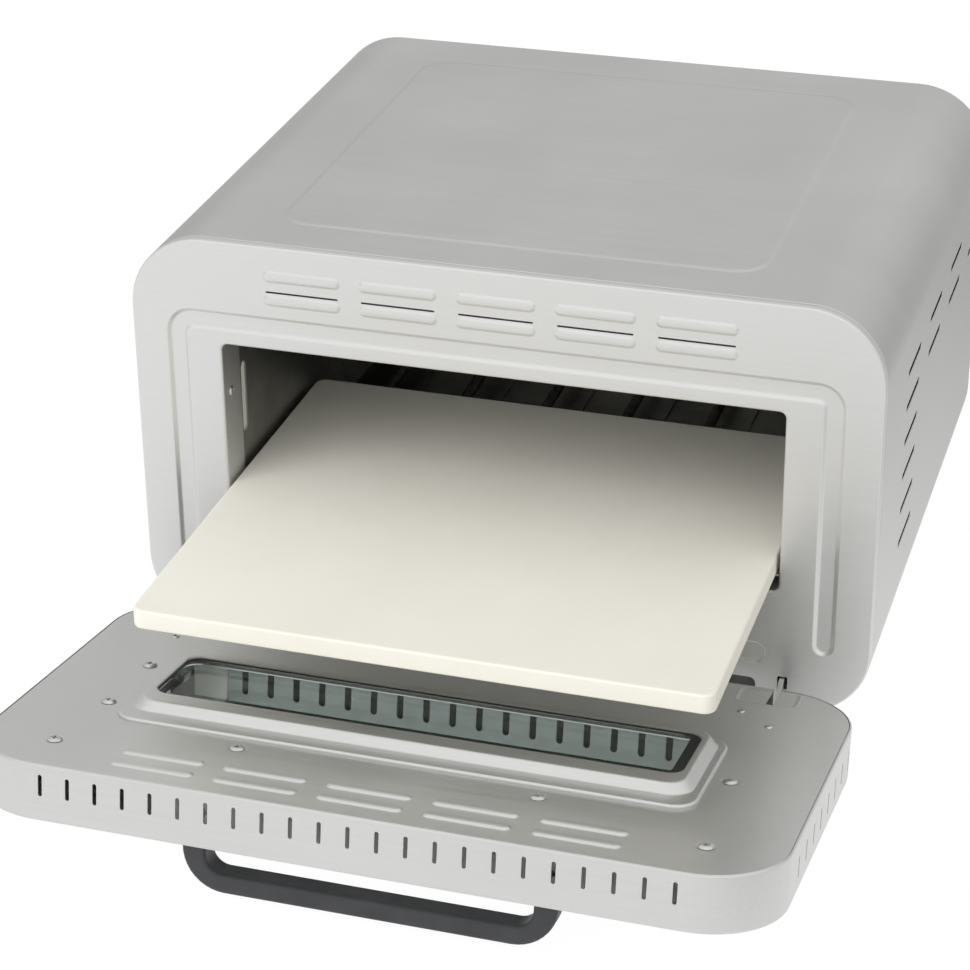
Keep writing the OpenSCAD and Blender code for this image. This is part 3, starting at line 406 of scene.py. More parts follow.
def ovenPiece(name, verts, faces, axes, mapping, body, replaced, slotName, thick=0.0, sharp=38,
              closed=False):
    # mapping turns the sheet's own coordinates into millimetres of the body or door axes
    mesh = bpy.data.meshes.new(name)
    mesh.from_pydata([axes @ Vector(mapping(*v)) for v in verts], [], faces)
    grain = mesh.attributes.new("grain", "FLOAT_VECTOR", "POINT")
    grain.data.foreach_set("vector", [c * 0.001 for v in verts for c in v])
    bm = bmesh.new()
    bm.from_mesh(mesh)
    bmesh.ops.remove_doubles(bm, verts=bm.verts, dist=1e-6)
    bmesh.ops.dissolve_degenerate(bm, edges=bm.edges, dist=1e-7)
    bmesh.ops.recalc_face_normals(bm, faces=bm.faces)
    if not closed:
        # an open sheet's good side looks where its height points
        largest = max(bm.faces, key=lambda f: f.calc_area())
        u, v, _ = largest.verts[0][bm.verts.layers.float_vector["grain"]] * 1000
        a, b = (axes @ Vector(mapping(u, v, h)) for h in (0, 1))
        if largest.normal.dot(b - a) < 0:
            bmesh.ops.reverse_faces(bm, faces=bm.faces)
    bm.to_mesh(mesh)
    bm.free()
    mesh.shade_smooth()
    mesh.set_sharp_from_angle(angle=math.radians(sharp))
    mesh.materials.append(finishes[slotName])
    piece = bpy.data.objects.new(name, mesh)
    bpy.context.scene.collection.objects.link(piece)
    if thick:
        solid = piece.modifiers.new("thickness", "SOLIDIFY")
        solid.thickness, solid.offset, solid.use_even_offset = thick * 0.001, -1, True
    weighted = piece.modifiers.new("flats", "WEIGHTED_NORMAL")
    weighted.keep_sharp = True
    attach(piece, body)
    if replaced:
        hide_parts(*replaced)
    return piece


def cutAway(piece, boxes, axes):
    # cuts boxes, given by two corners each, out of a sheet that has its thickness
    mesh = bpy.data.meshes.new("cutter")
    bm = bmesh.new()
    for low, high in boxes:
        middle = [(a + b) / 2 for a, b in zip(low, high)]
        size = [b - a for a, b in zip(low, high)]
        place = axes @ Matrix.Translation(middle) @ Matrix.Diagonal((*size, 1))
        bmesh.ops.create_cube(bm, size=1, matrix=place)
    bm.to_mesh(mesh)
    bm.free()
    cutter = bpy.data.objects.new("cutter", mesh)
    bpy.context.scene.collection.objects.link(cutter)
    cut = piece.modifiers.new("notches", "BOOLEAN")
    cut.operation, cut.solver, cut.object = "DIFFERENCE", "MANIFOLD", cutter
    piece.modifiers.move(len(piece.modifiers) - 1, 1)
    graph = bpy.context.evaluated_depsgraph_get()
    finished = bpy.data.meshes.new_from_object(piece.evaluated_get(graph))
    piece.modifiers.clear()
    piece.data = finished
    bpy.data.objects.remove(cutter)
    bpy.data.meshes.remove(mesh)


def alongPath(points):
    # distance along a line of points, and the place and outward direction at a distance
    lengths = [0]
    for (x0, z0), (x1, z1) in zip(points, points[1:]):
        lengths.append(lengths[-1] + math.hypot(x1 - x0, z1 - z0))

    def at(s):
        i = min(max(int(np.searchsorted(lengths, s, "right")) - 1, 0), len(points) - 2)
        (x0, z0), (x1, z1) = points[i], points[i + 1]
        step = lengths[i + 1] - lengths[i]
        t = (s - lengths[i]) / step
        return x0 + (x1 - x0) * t, z0 + (z1 - z0) * t, (z1 - z0) / step, (x0 - x1) / step

    return lengths, at


def ovenOutline(grow=0, steps=12):
    return roundedLoop(-oven["halfWidth"], oven["halfWidth"], 0, oven["height"], oven["cornerR"], grow, steps)


# the front panel's folds, groove, louvres, recess and openings
front = dict(fold=1.2, rim=6, jamb=27, grooveX=197, grooveFoot=47.5, grooveTop=209.5, grooveBend=9.8,
             grooveHalf=5.5, grooveDepth=1.6, louvrePitch=58.7, louvreLength=46.5, louvreWidth=6.2,
             louvreHeight=1.15, louvreRows=(242, 227), louvreSlitUp=5, louvreSlit=1.1,
             recess=(163, 31, 44, 6, 1.5), vent=(158, 9, 20, 4), hingeSlot=(174, 6, 15, 23.4))


def grooveLoop(grow=0, steps=8):
    x, z0, z1, bend, half = (front["groove" + k] for k in ("X", "Foot", "Top", "Bend", "Half"))
    half += grow
    points = []

    def arc(cx, cz, r, a0, a1, n):
        for i in range(n + 1):
            a = math.radians(a0 + (a1 - a0) * i / n)
            points.append((cx + r * math.cos(a), cz + r * math.sin(a)))

    arc(x, z0, half, 180, 360, 2 * steps)
    arc(x - bend, z1 - bend, bend + half, 0, 90, steps)
    arc(bend - x, z1 - bend, bend + half, 90, 180, steps)
    arc(-x, z0, half, 180, 360, 2 * steps)
    arc(bend - x, z1 - bend, bend - half, 180, 90, steps)
    arc(x - bend, z1 - bend, bend - half, 90, 0, steps)
    return points


def louvreShape(x, z, length, width):
    return shaped(slotLoop, x, z, length, width, steps=7)


def louvreRows(width, height):
    # a low hood: a soft foot, short slopes and a nearly flat crest
    half = width / 2
    return [(0.9, 0), (0.5, 0.06 * height), (0.1, 0.28 * height), (-0.16 * half, 0.66 * height),
            (-0.32 * half, 0.86 * height), (-0.5 * half, 0.95 * height), (-0.9 * half, height)]


def makeFrontPanel():
    features = [(grooveLoop, swellRows(1.3, -1.7, -front["grooveDepth"]), True)]
    for row, z in enumerate(front["louvreRows"]):
        for i in range(-2, 3):
            x = i * front["louvrePitch"]
            features.append((louvreShape(x, z, front["louvreLength"], front["louvreWidth"]),
                             louvreRows(front["louvreWidth"], front["louvreHeight"]), True))
            if row:
                slit = shaped(slotLoop, x, z + front["louvreSlitUp"], front["louvreLength"] - 2,
                              front["louvreSlit"])
                features.append((slit, [(0, 0), (0, -1)], False))
    hw, z0, z1, r, depth = front["recess"]
    recess = shaped(roundedLoop, -hw, hw, z0, z1, r, steps=8)
    features.append((recess, swellRows(0.9, -0.9, -depth), True))
    hw, z0, z1, r = front["vent"]
    vent = shaped(roundedLoop, -hw, hw, z0, z1, r, steps=6)
    features.append((vent, foldRows(0.4, 1, hole=True, steps=3), False))
    hw, z0, z1 = (oven[k] for k in ("mouthHw", "mouthZ0", "mouthZ1"))
    mouthEdge = shaped(roundedLoop, -hw, hw, z0, z1, 4, steps=8)
    features.append((mouthEdge, foldRows(1.5, front["jamb"], hole=True), False))
    x, width, z0, z1 = front["hingeSlot"]
    for side in (-1, 1):
        slot = shaped(roundedLoop, side * x - width / 2, side * x + width / 2, z0, z1, 0.5, steps=2)
        features.append((slot, [(0, 0), (0, -1)], False))
    verts, faces = pressedSheet(ovenOutline, foldRows(front["fold"], front["rim"]), features)
    ovenPiece("frontPanel", verts, faces, bodyAxes, lambda u, v, h: (u, -h, v), "root", ["front_panel"],
              "panel", 1.1)


makeFrontPanel()
print("front panel made")


# one sheet wraps the sides and the top, with a raised field and rows of vents
casing = dict(lip=165, field=(146, 38, 334, 20), fieldHeight=0.6, ventLength=47, ventWidth=4.4, ventY=105,
              ventPitchY=79, ventTop=188, ventPitchZ=22.6, ventRows=6, ventColumns=4)
# the controls on its left side stand in holes of the casing and of their own plate
controls = dict(y=75, z=(76, 126, 176), nodes=("timer", "lower", "upper"), knobR=17, low=4.3, high=21,
                edge=2.2, flutes=20, fluteDepth=0.45, plate=(46, 104, 51, 211, 8), plateT=1.5, lampZ=202,
                spindleHole=5, lampHole=4.2, marks=(19.4, 22.4),
                turns=dict(timer=(12, 330), lower=(10, 270), upper=(10, 270)))  # marks, degrees


def makeCasing():
    loop = ovenOutline(steps=14)
    quarter = len(loop) // 4
    path = [(casing["lip"], 0)] + loop + [(-casing["lip"], 0)]
    lengths, at = alongPath(path)
    total, y0, y1 = lengths[-1], oven["casingBehind"], oven["depth"]
    middle = total / 2
    rightFoot = lengths[quarter]

    def place(s, y, h):
        x, z, nx, nz = at(s)
        return x + nx * h, y, z + nz * h

    features = []
    hw, b0, b1, r = casing["field"]
    features.append((shaped(roundedLoop, middle - hw, middle + hw, b0, b1, r),
                     swellRows(1.4, -2.6, casing["fieldHeight"]), True))
    for side in (0, 1):
        # the left side leaves room for the controls
        for column in range(side, casing["ventColumns"]):
            for row in range(casing["ventRows"] if column == 0 else 2):
                z = casing["ventTop"] - row * casing["ventPitchZ"]
                s = rightFoot + z - oven["cornerR"]
                s = total - s if side else s
                y = casing["ventY"] + column * casing["ventPitchY"]
                features.append((shaped(slotLoop, s, y, casing["ventWidth"], casing["ventLength"]),
                                 foldRows(0.5, 1.1, hole=True, steps=3), False))
    for z in controls["z"] + (controls["lampZ"],):
        r = controls["lampHole"] if z == controls["lampZ"] else controls["spindleHole"]
        s, y = total - (rightFoot + z - oven["cornerR"]), controls["y"]
        hole = shaped(roundedLoop, s - r, s + r, y - r, y + r, r - 0.01, steps=5)
        features.append((hole, [(0, 0), (0, -1)], False))
    folds = [((s, y0), (s, y1)) for s in lengths[1:-1]]

    def edge(grow):
        # the sheet's own edge, with a point at each fold
        inset = -grow
        low = [(min(max(s, inset), total - inset), y0 + inset) for s in lengths]
        return low + [(s, y1 - inset) for s, _ in reversed(low)]

    verts, faces = pressedSheet(edge, foldRows(0.7, 1.1, steps=3), features, folds)
    ovenPiece("wrapCasing", verts, faces, bodyAxes, place, "root", ["wrap_casing"], "casing", 1.0)


makeCasing()
print("casing made")


# the door is drawn shut, and doorAxes swing it open
door = dict(fold=2.2, wallFold=1.1, window=(152, 72, 172, 8), slots=23, slotPitch=15.84, slotWidth=2.4,
            slotLength=12.5, slotIn=5.6, sideSlots=8, sidePitch=21.1, sideZ0=45.7, sideIn=11.5, seam=0.3,
            opening=(157, 92, 172.5, 10), louvreRows=(241.8, 225.8), notch=(171.9, 176.1, 25.5),
            pad=(154, 189, 4.2, 26, 4), screw=(4.3, 2, 1.8, 12), hingeScrew=(2.8, 1.6, 1.4, 6.4),
            screwSpots=[(-176, 105.7), (-176, 164.6), (-181.5, 225), (-85, 199), (85, 199),
                        (176, 140.3), (181.5, 225)],
            hingeSpots=[(160.7, 40.4), (180, 57.3)])
hingeNotches = [((min(s * a, s * b), -27, -2), (max(s * a, s * b), 3, top))
                for s in (-1, 1) for a, b, top in [door["notch"]]]


def makeDoorShell():
    depth = oven["doorIn"] - oven["doorOut"]
    loop = ovenOutline(steps=14)
    ring = loop + loop[:1]
    lengths, at = alongPath(ring)
    y0, y1 = door["fold"], depth - door["wallFold"]
    hw, z0, z1, r = door["window"]
    window = (shaped(roundedLoop, -hw, hw, z0, z1, r), foldRows(0.8, 1, hole=True, steps=3), False)
    verts, faces = pressedSheet(shaped(ovenOutline, steps=14), foldRows(door["fold"], 0), [window])
    # the wall, with its slots, laid out flat and then bent round the outline
    wallVerts, holes = [], []

    def addLoop(points):
        wallVerts.extend((s, d, 0) for s, d in points)
        return list(range(len(wallVerts) - len(points), len(wallVerts)))

    border = addLoop([(s, y0) for s in lengths] + [(s, y1) for s in reversed(lengths)])
    n = len(loop) // 4
    topMiddle = (lengths[2 * n - 1] + lengths[2 * n]) / 2
    rightFoot, leftTop = lengths[n - 1], lengths[3 * n - 1]
    middle = depth - door["slotIn"] - door["slotLength"] / 2
    for i in range(door["slots"]):
        s = topMiddle + (i - (door["slots"] - 1) / 2) * door["slotPitch"]
        holes.append(addLoop(slotLoop(s, middle, door["slotWidth"], door["slotLength"])))
    middle = depth - door["sideIn"] - door["slotLength"] / 2
    for i in range(door["sideSlots"]):
        z = door["sideZ0"] + i * door["sidePitch"]
        for s in (rightFoot + z - oven["cornerR"], leftTop + oven["height"] - oven["cornerR"] - z):
            holes.append(addLoop(slotLoop(s, middle, door["slotWidth"], door["slotLength"])))
    folds = [((s, y0), (s, y1)) for s in lengths[1:-1]]
    wallFaces = fillFlat(wallVerts, border, holes, folds)
    start = len(verts)
    for s, d, _ in wallVerts:
        verts.append((*at(s)[:2], -d))
    faces += [tuple(start + i for i in f) for f in wallFaces]
    # the wall's upper edge, rolled inwards
    start, r = len(verts), door["wallFold"]
    angles = [math.pi / 2 * i / 4 for i in range(5)]
    rows = [(r * (math.cos(a) - 1), -depth + r * (1 - math.sin(a))) for a in angles]
    rows.append((rows[-1][0] - 0.05, -depth + 0.6))
    for k, (grow, h) in enumerate(rows):
        row = ovenOutline(grow, 14)
        verts.extend((x, z, h) for x, z in row)
        if k:
            a, b, m = start + (k - 1) * len(row), start + k * len(row), len(row)
            faces += [(a + i, a + (i + 1) % m, b + (i + 1) % m, b + i) for i in range(m)]
    shell = ovenPiece("doorShell", verts, faces, doorAxes, lambda u, v, h: (u, oven["doorOut"] - h, v),
                      "door", ["door_shell"], "door_panel", 0.9)
    cutAway(shell, hingeNotches, doorAxes)


def dimple(x, z, r, rows):
    # the sheet sinks a little round a screw hole
    return shaped(roundedLoop, x - r, x + r, z - r, z + r, r - 0.01, steps=5), rows, False


def makeDoorInner():
    features = []
    width, length = front["louvreWidth"], front["louvreLength"]
    for z in door["louvreRows"]:
        for i in range(-2, 3):
            features.append((louvreShape(i * front["louvrePitch"], z, length, width),
                             louvreRows(width, front["louvreHeight"]), True))
    hw, z0, z1, r = door["opening"]
    features.append((shaped(roundedLoop, -hw, hw, z0, z1, r), [(0, 0), (0, -0.9)], False))
    rows = [(4.2, 0), (3.4, -0.08), (2.6, -0.3), (0.4, -0.35), (0, -0.8)]
    features += [dimple(x, z, 1.9, rows) for x, z in door["screwSpots"]]
    x0, x1, z0, z1, r = door["pad"]
    rows = [(1.4, 0), (0.9, 0.2), (0.3, 0.28), (-0.4, 0.05), (-1.2, -0.3), (-2, -0.42)]
    hingeRows = [(2.6, 0), (2, -0.2), (0.3, -0.25), (0, -0.8)]
    for side in (-1, 1):
        a, b = sorted((side * x0, side * x1))
        features.append((shaped(roundedLoop, a, b, z0, z1, r, steps=6), rows, True))
        features += [dimple(side * x, z, 1.5, hingeRows) for x, z in door["hingeSpots"]]
    inset = 1 + door["seam"] + 0.1
    rim = [(g - inset, h) for g, h in foldRows(0.5, 0.9, steps=3)]
    verts, faces = pressedSheet(ovenOutline, rim, features)
    panel = ovenPiece("doorInner", verts, faces, doorAxes, lambda u, v, h: (u, oven["doorIn"] + h, v), "door",
                      ["door_inner_panel"], "door_panel", 0.8)
    cutAway(panel, hingeNotches, doorAxes)


makeDoorShell()
makeDoorInner()
print("door sheets made")


windowRows = [  # half width, lower edge, upper edge, corner radius, height above the door's inner panel
    (166, 88, 187, 14, -0.3), (166, 88, 187, 14, 0.9), (165.7, 88.3, 186.7, 13.7, 1.5),
    (165, 89, 186, 13, 1.9), (164.4, 89.4, 185.4, 12.6, 2), (161.4, 90.6, 175.6, 13.2, 2),
    (160.7, 91.1, 174.8, 12.9, 2.25), (160, 91.6, 174, 12.6, 2.9), (157.3, 92.1, 172.2, 12.1, 6.2),
    (156.7, 92.5, 171.6, 11.8, 6.9), (155.8, 93.2, 170.8, 11.3, 7.35), (154.9, 94.2, 169.8, 10.8, 7.5),
    (153.4, 97.6, 159.2, 9.6, 7.5), (152.6, 98.6, 158, 9, 7.35), (152.3, 99.2, 157.3, 8.8, 6.9),
    (152.3, 99.2, 157.3, 8.8, 6.0)]


def makeWindowFrame():
    verts, faces = [], []
    for k, (hw, z0, z1, r, h) in enumerate(windowRows):
        loop = roundedLoop(-hw, hw, z0, z1, r, steps=10)
        m, start = len(loop), len(verts)
        verts.extend((x, z, h) for x, z in loop)
        if k:
            a, b = start - m, start
            faces += [(a + i, a + (i + 1) % m, b + (i + 1) % m, b + i) for i in range(m)]
    ovenPiece("windowFrame", verts, faces, doorAxes, lambda u, v, h: (u, oven["doorIn"] + h, v), "door",
              ["window_frame"], "door_panel", 0.8)


seal = dict(outer=(155.1, 96.4, 160.1, 9), inner=(-151.4, 146, 100.3, 156.5, 7.4), low=1.72, high=2.4)


def makeSeal():
    # black ring on the pane, wider on its right side
    hw, z0, z1, r = seal["outer"]
    low, high = seal["low"], seal["high"]
    inside = [(0.25, high), (0.05, high - 0.1), (0, high - 0.3), (0, low)]
    opening = (shaped(roundedLoop, *seal["inner"], steps=8), inside, False)
    ring = softPlate(shaped(roundedLoop, -hw, hw, z0, z1, r, steps=8), low, high, 0.15, [opening])
    ovenPiece("windowSeal", *ring, doorAxes, lambda u, v, h: (u, h, v), "door", ["window_gasket"], "gasket",
              closed=True)


wallEnd = dict(x=(139.2, 160.6), y=(-31.7, -5.3), z=(74.6, 75.4))


def makeWallEnds():
    # pale plates that close the slotted wall at its two ends
    (x0, x1), (y0, y1), (low, high) = wallEnd["x"], wallEnd["y"], wallEnd["z"]
    for side in (-1, 1):
        a, b = sorted((side * x0, side * x1))
        plate = softPlate(shaped(roundedLoop, a, b, y0, y1, 1, steps=3), low, high, 0.2)
        ovenPiece("wallEnd", *plate, doorAxes, lambda u, v, h: (u, v, h), "door", [], "ceramic", closed=True)


def makeDoorScrews():
    def place(u, v, h):
        return u, oven["doorIn"] + h, v

    heads = joined(*(screw(x, z, 0, *door["screw"]) for x, z in door["screwSpots"]))
    ovenPiece("doorScrews", *heads, doorAxes, place, "door", ["door_screws"], "zinc", closed=True, sharp=45)
    low = [(side * x, z) for side in (-1, 1) for x, z in door["hingeSpots"]]
    heads = joined(*(screw(x, z, -0.6, *door["hingeScrew"]) for x, z in low))
    ovenPiece("hingeScrews", *heads, doorAxes, place, "door", ["hinge_screws"], "zinc", closed=True, sharp=45)


makeWindowFrame()
makeSeal()
makeWallEnds()
makeDoorScrews()
print("window frame, seal, wall ends and screws made")


# a flat grip on two legs, with rounded bends
handle = dict(halfWidth=106, leg=13.5, out=41.5, bar=11.5, width=16, z=219, outerR=25, innerR=10, edge=2.6)


def handleLoop(grow=0, steps=10):
    hw, out, outerR, innerR = (handle[k] for k in ("halfWidth", "out", "outerR", "innerR"))
    inner, top = hw - handle["leg"], out - handle["bar"]
    points = [(inner - grow, 0), (hw + grow, 0)]

    def arc(cx, cy, r, a0, a1):
        for i in range(steps + 1):
            a = math.radians(a0 + (a1 - a0) * i / steps)
            points.append((cx + r * math.cos(a), cy + r * math.sin(a)))

    arc(hw - outerR, out - outerR, outerR + grow, 0, 90)
    arc(outerR - hw, out - outerR, outerR + grow, 90, 180)
    points.extend([(-hw - grow, 0), (grow - inner, 0)])
    arc(innerR - inner, top - innerR, innerR - grow, 180, 90)
    arc(inner - innerR, top - innerR, innerR - grow, 90, 0)
    return points


def makeHandle():
    half = handle["width"] / 2

    def place(u, v, h):
        return u, oven["doorOut"] - v, handle["z"] + h

    verts, faces = softPlate(handleLoop, -half, half, handle["edge"], steps=5)
    ovenPiece("doorHandle", verts, faces, doorAxes, place, "door", ["door_handle"], "handle", closed=True,
              sharp=50)


makeHandle()
print("handle made")


# the stone half out of the oven
stone = dict(halfWidth=167.4, front=-158, back=155, z=90, thick=12, cornerR=7, edge=1.4)


def makeStone():
    top = stone["z"] + stone["thick"]
    border = shaped(roundedLoop, -stone["halfWidth"], stone["halfWidth"], stone["front"], stone["back"],
                    stone["cornerR"])
    verts, faces = softPlate(border, stone["z"], top, stone["edge"])
    ovenPiece("bakingStone", verts, faces, bodyAxes, lambda u, v, h: (u, v, h), "stone", ["baking_stone"],
              "stone", closed=True)


makeStone()
print("stone made")


# details of the cavity sides and of the mouth's flanges
mouth = dict(wall=171.6, highlightStrip=(30.5, 39.5, 121, 168), highlightStripThick=0.8, jambSpot=(12, 159),
             jambScrew=(3.2, 1.6, 1.6, 6))


def makeMouthDetails():
    # a pale strip behind the slot of each cavity side, a painted highlight for the light caught in the slot,
    # and the screw in each flange of the mouth
    wall = mouth["wall"]
    for side in (-1, 1):
        outline = shaped(roundedLoop, *mouth["highlightStrip"], 1, steps=3)
        highlightStrip = softPlate(outline, wall, wall + mouth["highlightStripThick"], 0.2)
        ovenPiece("sideHighlightStrip", *highlightStrip, bodyAxes, lambda u, v, h: (side * h, u, v), "root", [], "ceramic",
                  closed=True)
    for side in (-1, 1):
        head = screw(*mouth["jambSpot"], 0, *mouth["jambScrew"])
        ovenPiece("jambScrew", *head, bodyAxes, lambda u, v, h: (side * (oven["mouthHw"] - h), u, v), "root",
                  ["jamb_screws"], "zinc", closed=True, sharp=45)


makeMouthDetails()
print("mouth details made")


def knobLoop(y, z, r, flutes, depth, grow=0):
    # a circle with shallow flutes that fade as the loop shrinks over the top edge
    fade = max(0.0, 1 + grow / 3)
    steps = flutes * 8
    points = []
    for i in range(steps):
        a = 2 * math.pi * i / steps
        here = r + grow - depth * fade * max(0.0, math.cos(flutes * a)) ** 2
        points.append((y + here * math.cos(a), z + here * math.sin(a)))
    return points


def makeControls():
    def side(u, v, h):
        return -oven["halfWidth"] - h, u, v

    y, r, edge = controls["y"], controls["knobR"], controls["edge"]
    low, high = controls["low"], controls["high"]
    for z, name in zip(controls["z"], controls["nodes"]):
        rows = [(-2.9 - edge, high)] + [(g - 1.5, high + h) for g, h in foldRows(edge, 0, steps=5)]
        rows += [(-0.4, low + 1), (0, low + 0.6), (0, low), (-1, low)]
        sunk = [(0, high), (-1.2, high - 0.25), (-5, high - 0.45)]
        dish = (shaped(roundLoop, y, z, r - 7, steps=48), sunk, True)
        outline = shaped(knobLoop, y, z, r, controls["flutes"], controls["fluteDepth"])
        knob = pressedSheet(outline, rows, [dish], back=True)
        ovenPiece(name + "Knob", *knob, bodyAxes, side, name + "_knob", [name + "_knob"], "knob", closed=True,
                  sharp=50)
        outline = shaped(roundedLoop, y - 0.8, y + 0.8, z + r - 9.5, z + r - 4.6, 0.7, steps=4)
        line = softPlate(outline, high - 0.7, high - 0.04, 0.1)
        ovenPiece(name + "Pointer", *line, bodyAxes, side, name + "_knob", [], "moulding", closed=True)
    y0, y1, z0, z1, bend = controls["plate"]
    high = controls["plateT"]
    cuts = [(z, controls["spindleHole"]) for z in controls["z"]]
    cuts.append((controls["lampZ"], controls["lampHole"]))
    rim = [(0.2, high), (0, high - 0.2), (0, 0)]
    holes = [(shaped(roundLoop, y, z, hole), rim, False) for z, hole in cuts]
    plate = softPlate(shaped(roundedLoop, y0, y1, z0, z1, bend), 0, high, 0.5, holes)
    ovenPiece("controlPlate", *plate, bodyAxes, side, "root", ["control_plate"], "control", closed=True)
    # printed marks round each knob: they grow with the setting
    marks = []
    for z, name in zip(controls["z"], controls["nodes"]):
        count, sweep = controls["turns"][name]
        for i in range(count):
            a = math.radians(90 + sweep * i / (count - 1))
            inner, outer = controls["marks"]
            outer = inner + (outer - inner) * (0.45 + 0.55 * i / (count - 1))
            along, across = (math.cos(a), math.sin(a)), (-math.sin(a), math.cos(a))
            corners = [(inner, -0.3), (outer, -0.3), (outer, 0.3), (inner, 0.3)]
            loop = [(y + p * along[0] + q * across[0], z + p * along[1] + q * across[1])
                    for p, q in corners]
            marks.append(pressedSheet(lambda grow, loop=loop: loop, [(0, high + 0.06), (0, high - 0.1)],
                                      back=True))
    ovenPiece("dialMarks", *joined(*marks), bodyAxes, side, "root", [], "moulding", closed=True)
    angles = [math.pi / 2 * i / 6 for i in range(1, 7)]
    rows = [(-4.99 + 4.99 * math.sin(t), 1.5 + 1.5 * math.cos(t)) for t in angles] + [(-1, 1.5), (-1, -15)]
    lens = pressedSheet(shaped(roundLoop, y, controls["lampZ"], 5), rows, back=True)
    ovenPiece("pilotLamp", *lens, bodyAxes, side, "root", ["pilot_lamp"], "lamp", closed=True, sharp=50)


makeControls()
print("controls made")


# back sheet, its screws and cord inlet, and the feet
rear = dict(face=373.8, inset=1.2, ventTop=178, ventPitchZ=12, ventPitchX=60, vent=(47, 4.4), lowVentZ=46,
            lowVentPitch=30, lowVent=(4.4, 26), gland=(-142, 24, 4.1), screw=(3.8, 2, 1.8, 9),
            screwSpots=[(-203, 46), (-203, 214), (0, 242), (203, 46), (203, 214)],
            feet=[(x, y) for x in (-150, 150) for y in (45, 330)], footR=16, footLow=-18, footHigh=1.2)


def makeRear():
    def place(u, v, h):
        return u, rear["face"] + h, v

    features = []
    gx, gz, cord = rear["gland"]
    slot = foldRows(0.4, 1.1, hole=True, steps=3)
    for row in range(5):
        z = rear["ventTop"] - row * rear["ventPitchZ"]
        for i in range(-2, 3):
            features.append((shaped(slotLoop, i * rear["ventPitchX"], z, *rear["vent"]), slot, False))
    for i in range(-3, 4):
        x = i * rear["lowVentPitch"]
        features.append((shaped(slotLoop, x, rear["lowVentZ"], *rear["lowVent"]), slot, False))
    features.append((shaped(roundLoop, gx, gz, cord + 3.2), [(0, 0), (0, -1.1)], False))
    rim = [(g - rear["inset"], h) for g, h in foldRows(0.5, 1.0, steps=3)]
    panel = pressedSheet(ovenOutline, rim, features)
    ovenPiece("backPanel", *panel, bodyAxes, place, "root", ["back_panel"], "casing", 1.1)
    heads = joined(*(screw(x, z, 0, *rear["screw"]) for x, z in rear["screwSpots"]))
    ovenPiece("casingScrews", *heads, bodyAxes, place, "root", ["casing_screws"], "zinc", closed=True,
              sharp=45)
    # cord inlet: a ribbed bush with its bore
    rows = [(2.9, 9.2), (3.2, 9), (3.5, 8.6), (3.5, 6.6), (2.9, 6.3), (2.9, 5.5), (3.5, 5.2), (3.5, 3.4),
            (6.2, 3), (6.8, 2.7), (7, 2.2), (7, 0), (3, 0), (3, -1.2), (6, -1.2), (6, -5.2), (3, -5.2),
            (3, -7.2)]
    bore = (shaped(roundLoop, gx, gz, cord, steps=32), [(0.4, 9.2), (0.1, 9), (0, 8.6), (0, -7.2)], False)
    bush = pressedSheet(shaped(roundLoop, gx, gz, cord, steps=32), rows, [bore], back=True)
    ovenPiece("cordGland", *bush, bodyAxes, place, "root", ["cord_gland"], "handle", closed=True, sharp=50)
    # rubber feet: chamfered below, with a hollow for the screw
    low, high, r = rear["footLow"], rear["footHigh"], rear["footR"]
    rows = [(-3.6, -low), (-3.2, -low - 0.1), (-2.9, -low - 0.4), (-0.5, -low - 2.7), (-0.1, -low - 3.1),
            (0, -low - 3.6), (0, -low - 8), (-0.5, -low - 8.4), (-0.5, -low - 9.4), (0, -low - 9.8),
            (0, -high)]
    bore = [(0.5, -low), (0.1, -low - 0.2), (0, -low - 0.6), (0, 6), (-3.4, 6), (-3.4, -high)]
    feet = []
    for x, y in rear["feet"]:
        hollow = (shaped(roundLoop, x, y, 5.5, steps=40), bore, False)
        feet.append(pressedSheet(shaped(roundLoop, x, y, r, steps=40), rows, [hollow], back=True))
    ovenPiece("feet", *joined(*feet), bodyAxes, lambda u, v, h: (u, v, -h), "root", ["feet"], "foot",
              closed=True, sharp=50)


makeRear()
print("back and feet made")


# grey levels of the floor and of the room that the metal and the matt surfaces see
room = dict(floorSize=12, floorLevel=0.93, floorGlow=1.04, floorGrey=0.55, ceilingAxis=(0.22, -0.35, 0.91),
            ceiling=(0.52, 1.08), daylightAxis=(0.1, -0.93, 0.35), daylight=(0.4, 0.98))
lamps = dict(softKey=((-1.6, -1.8, 2.2), (0, 0, 0.1), 1.8, 9),
             wideFront=((-1.1, -2.0, 1.3), (0, 0.05, 0.12), 2.6, 24))  # place, aim, metres across, watts


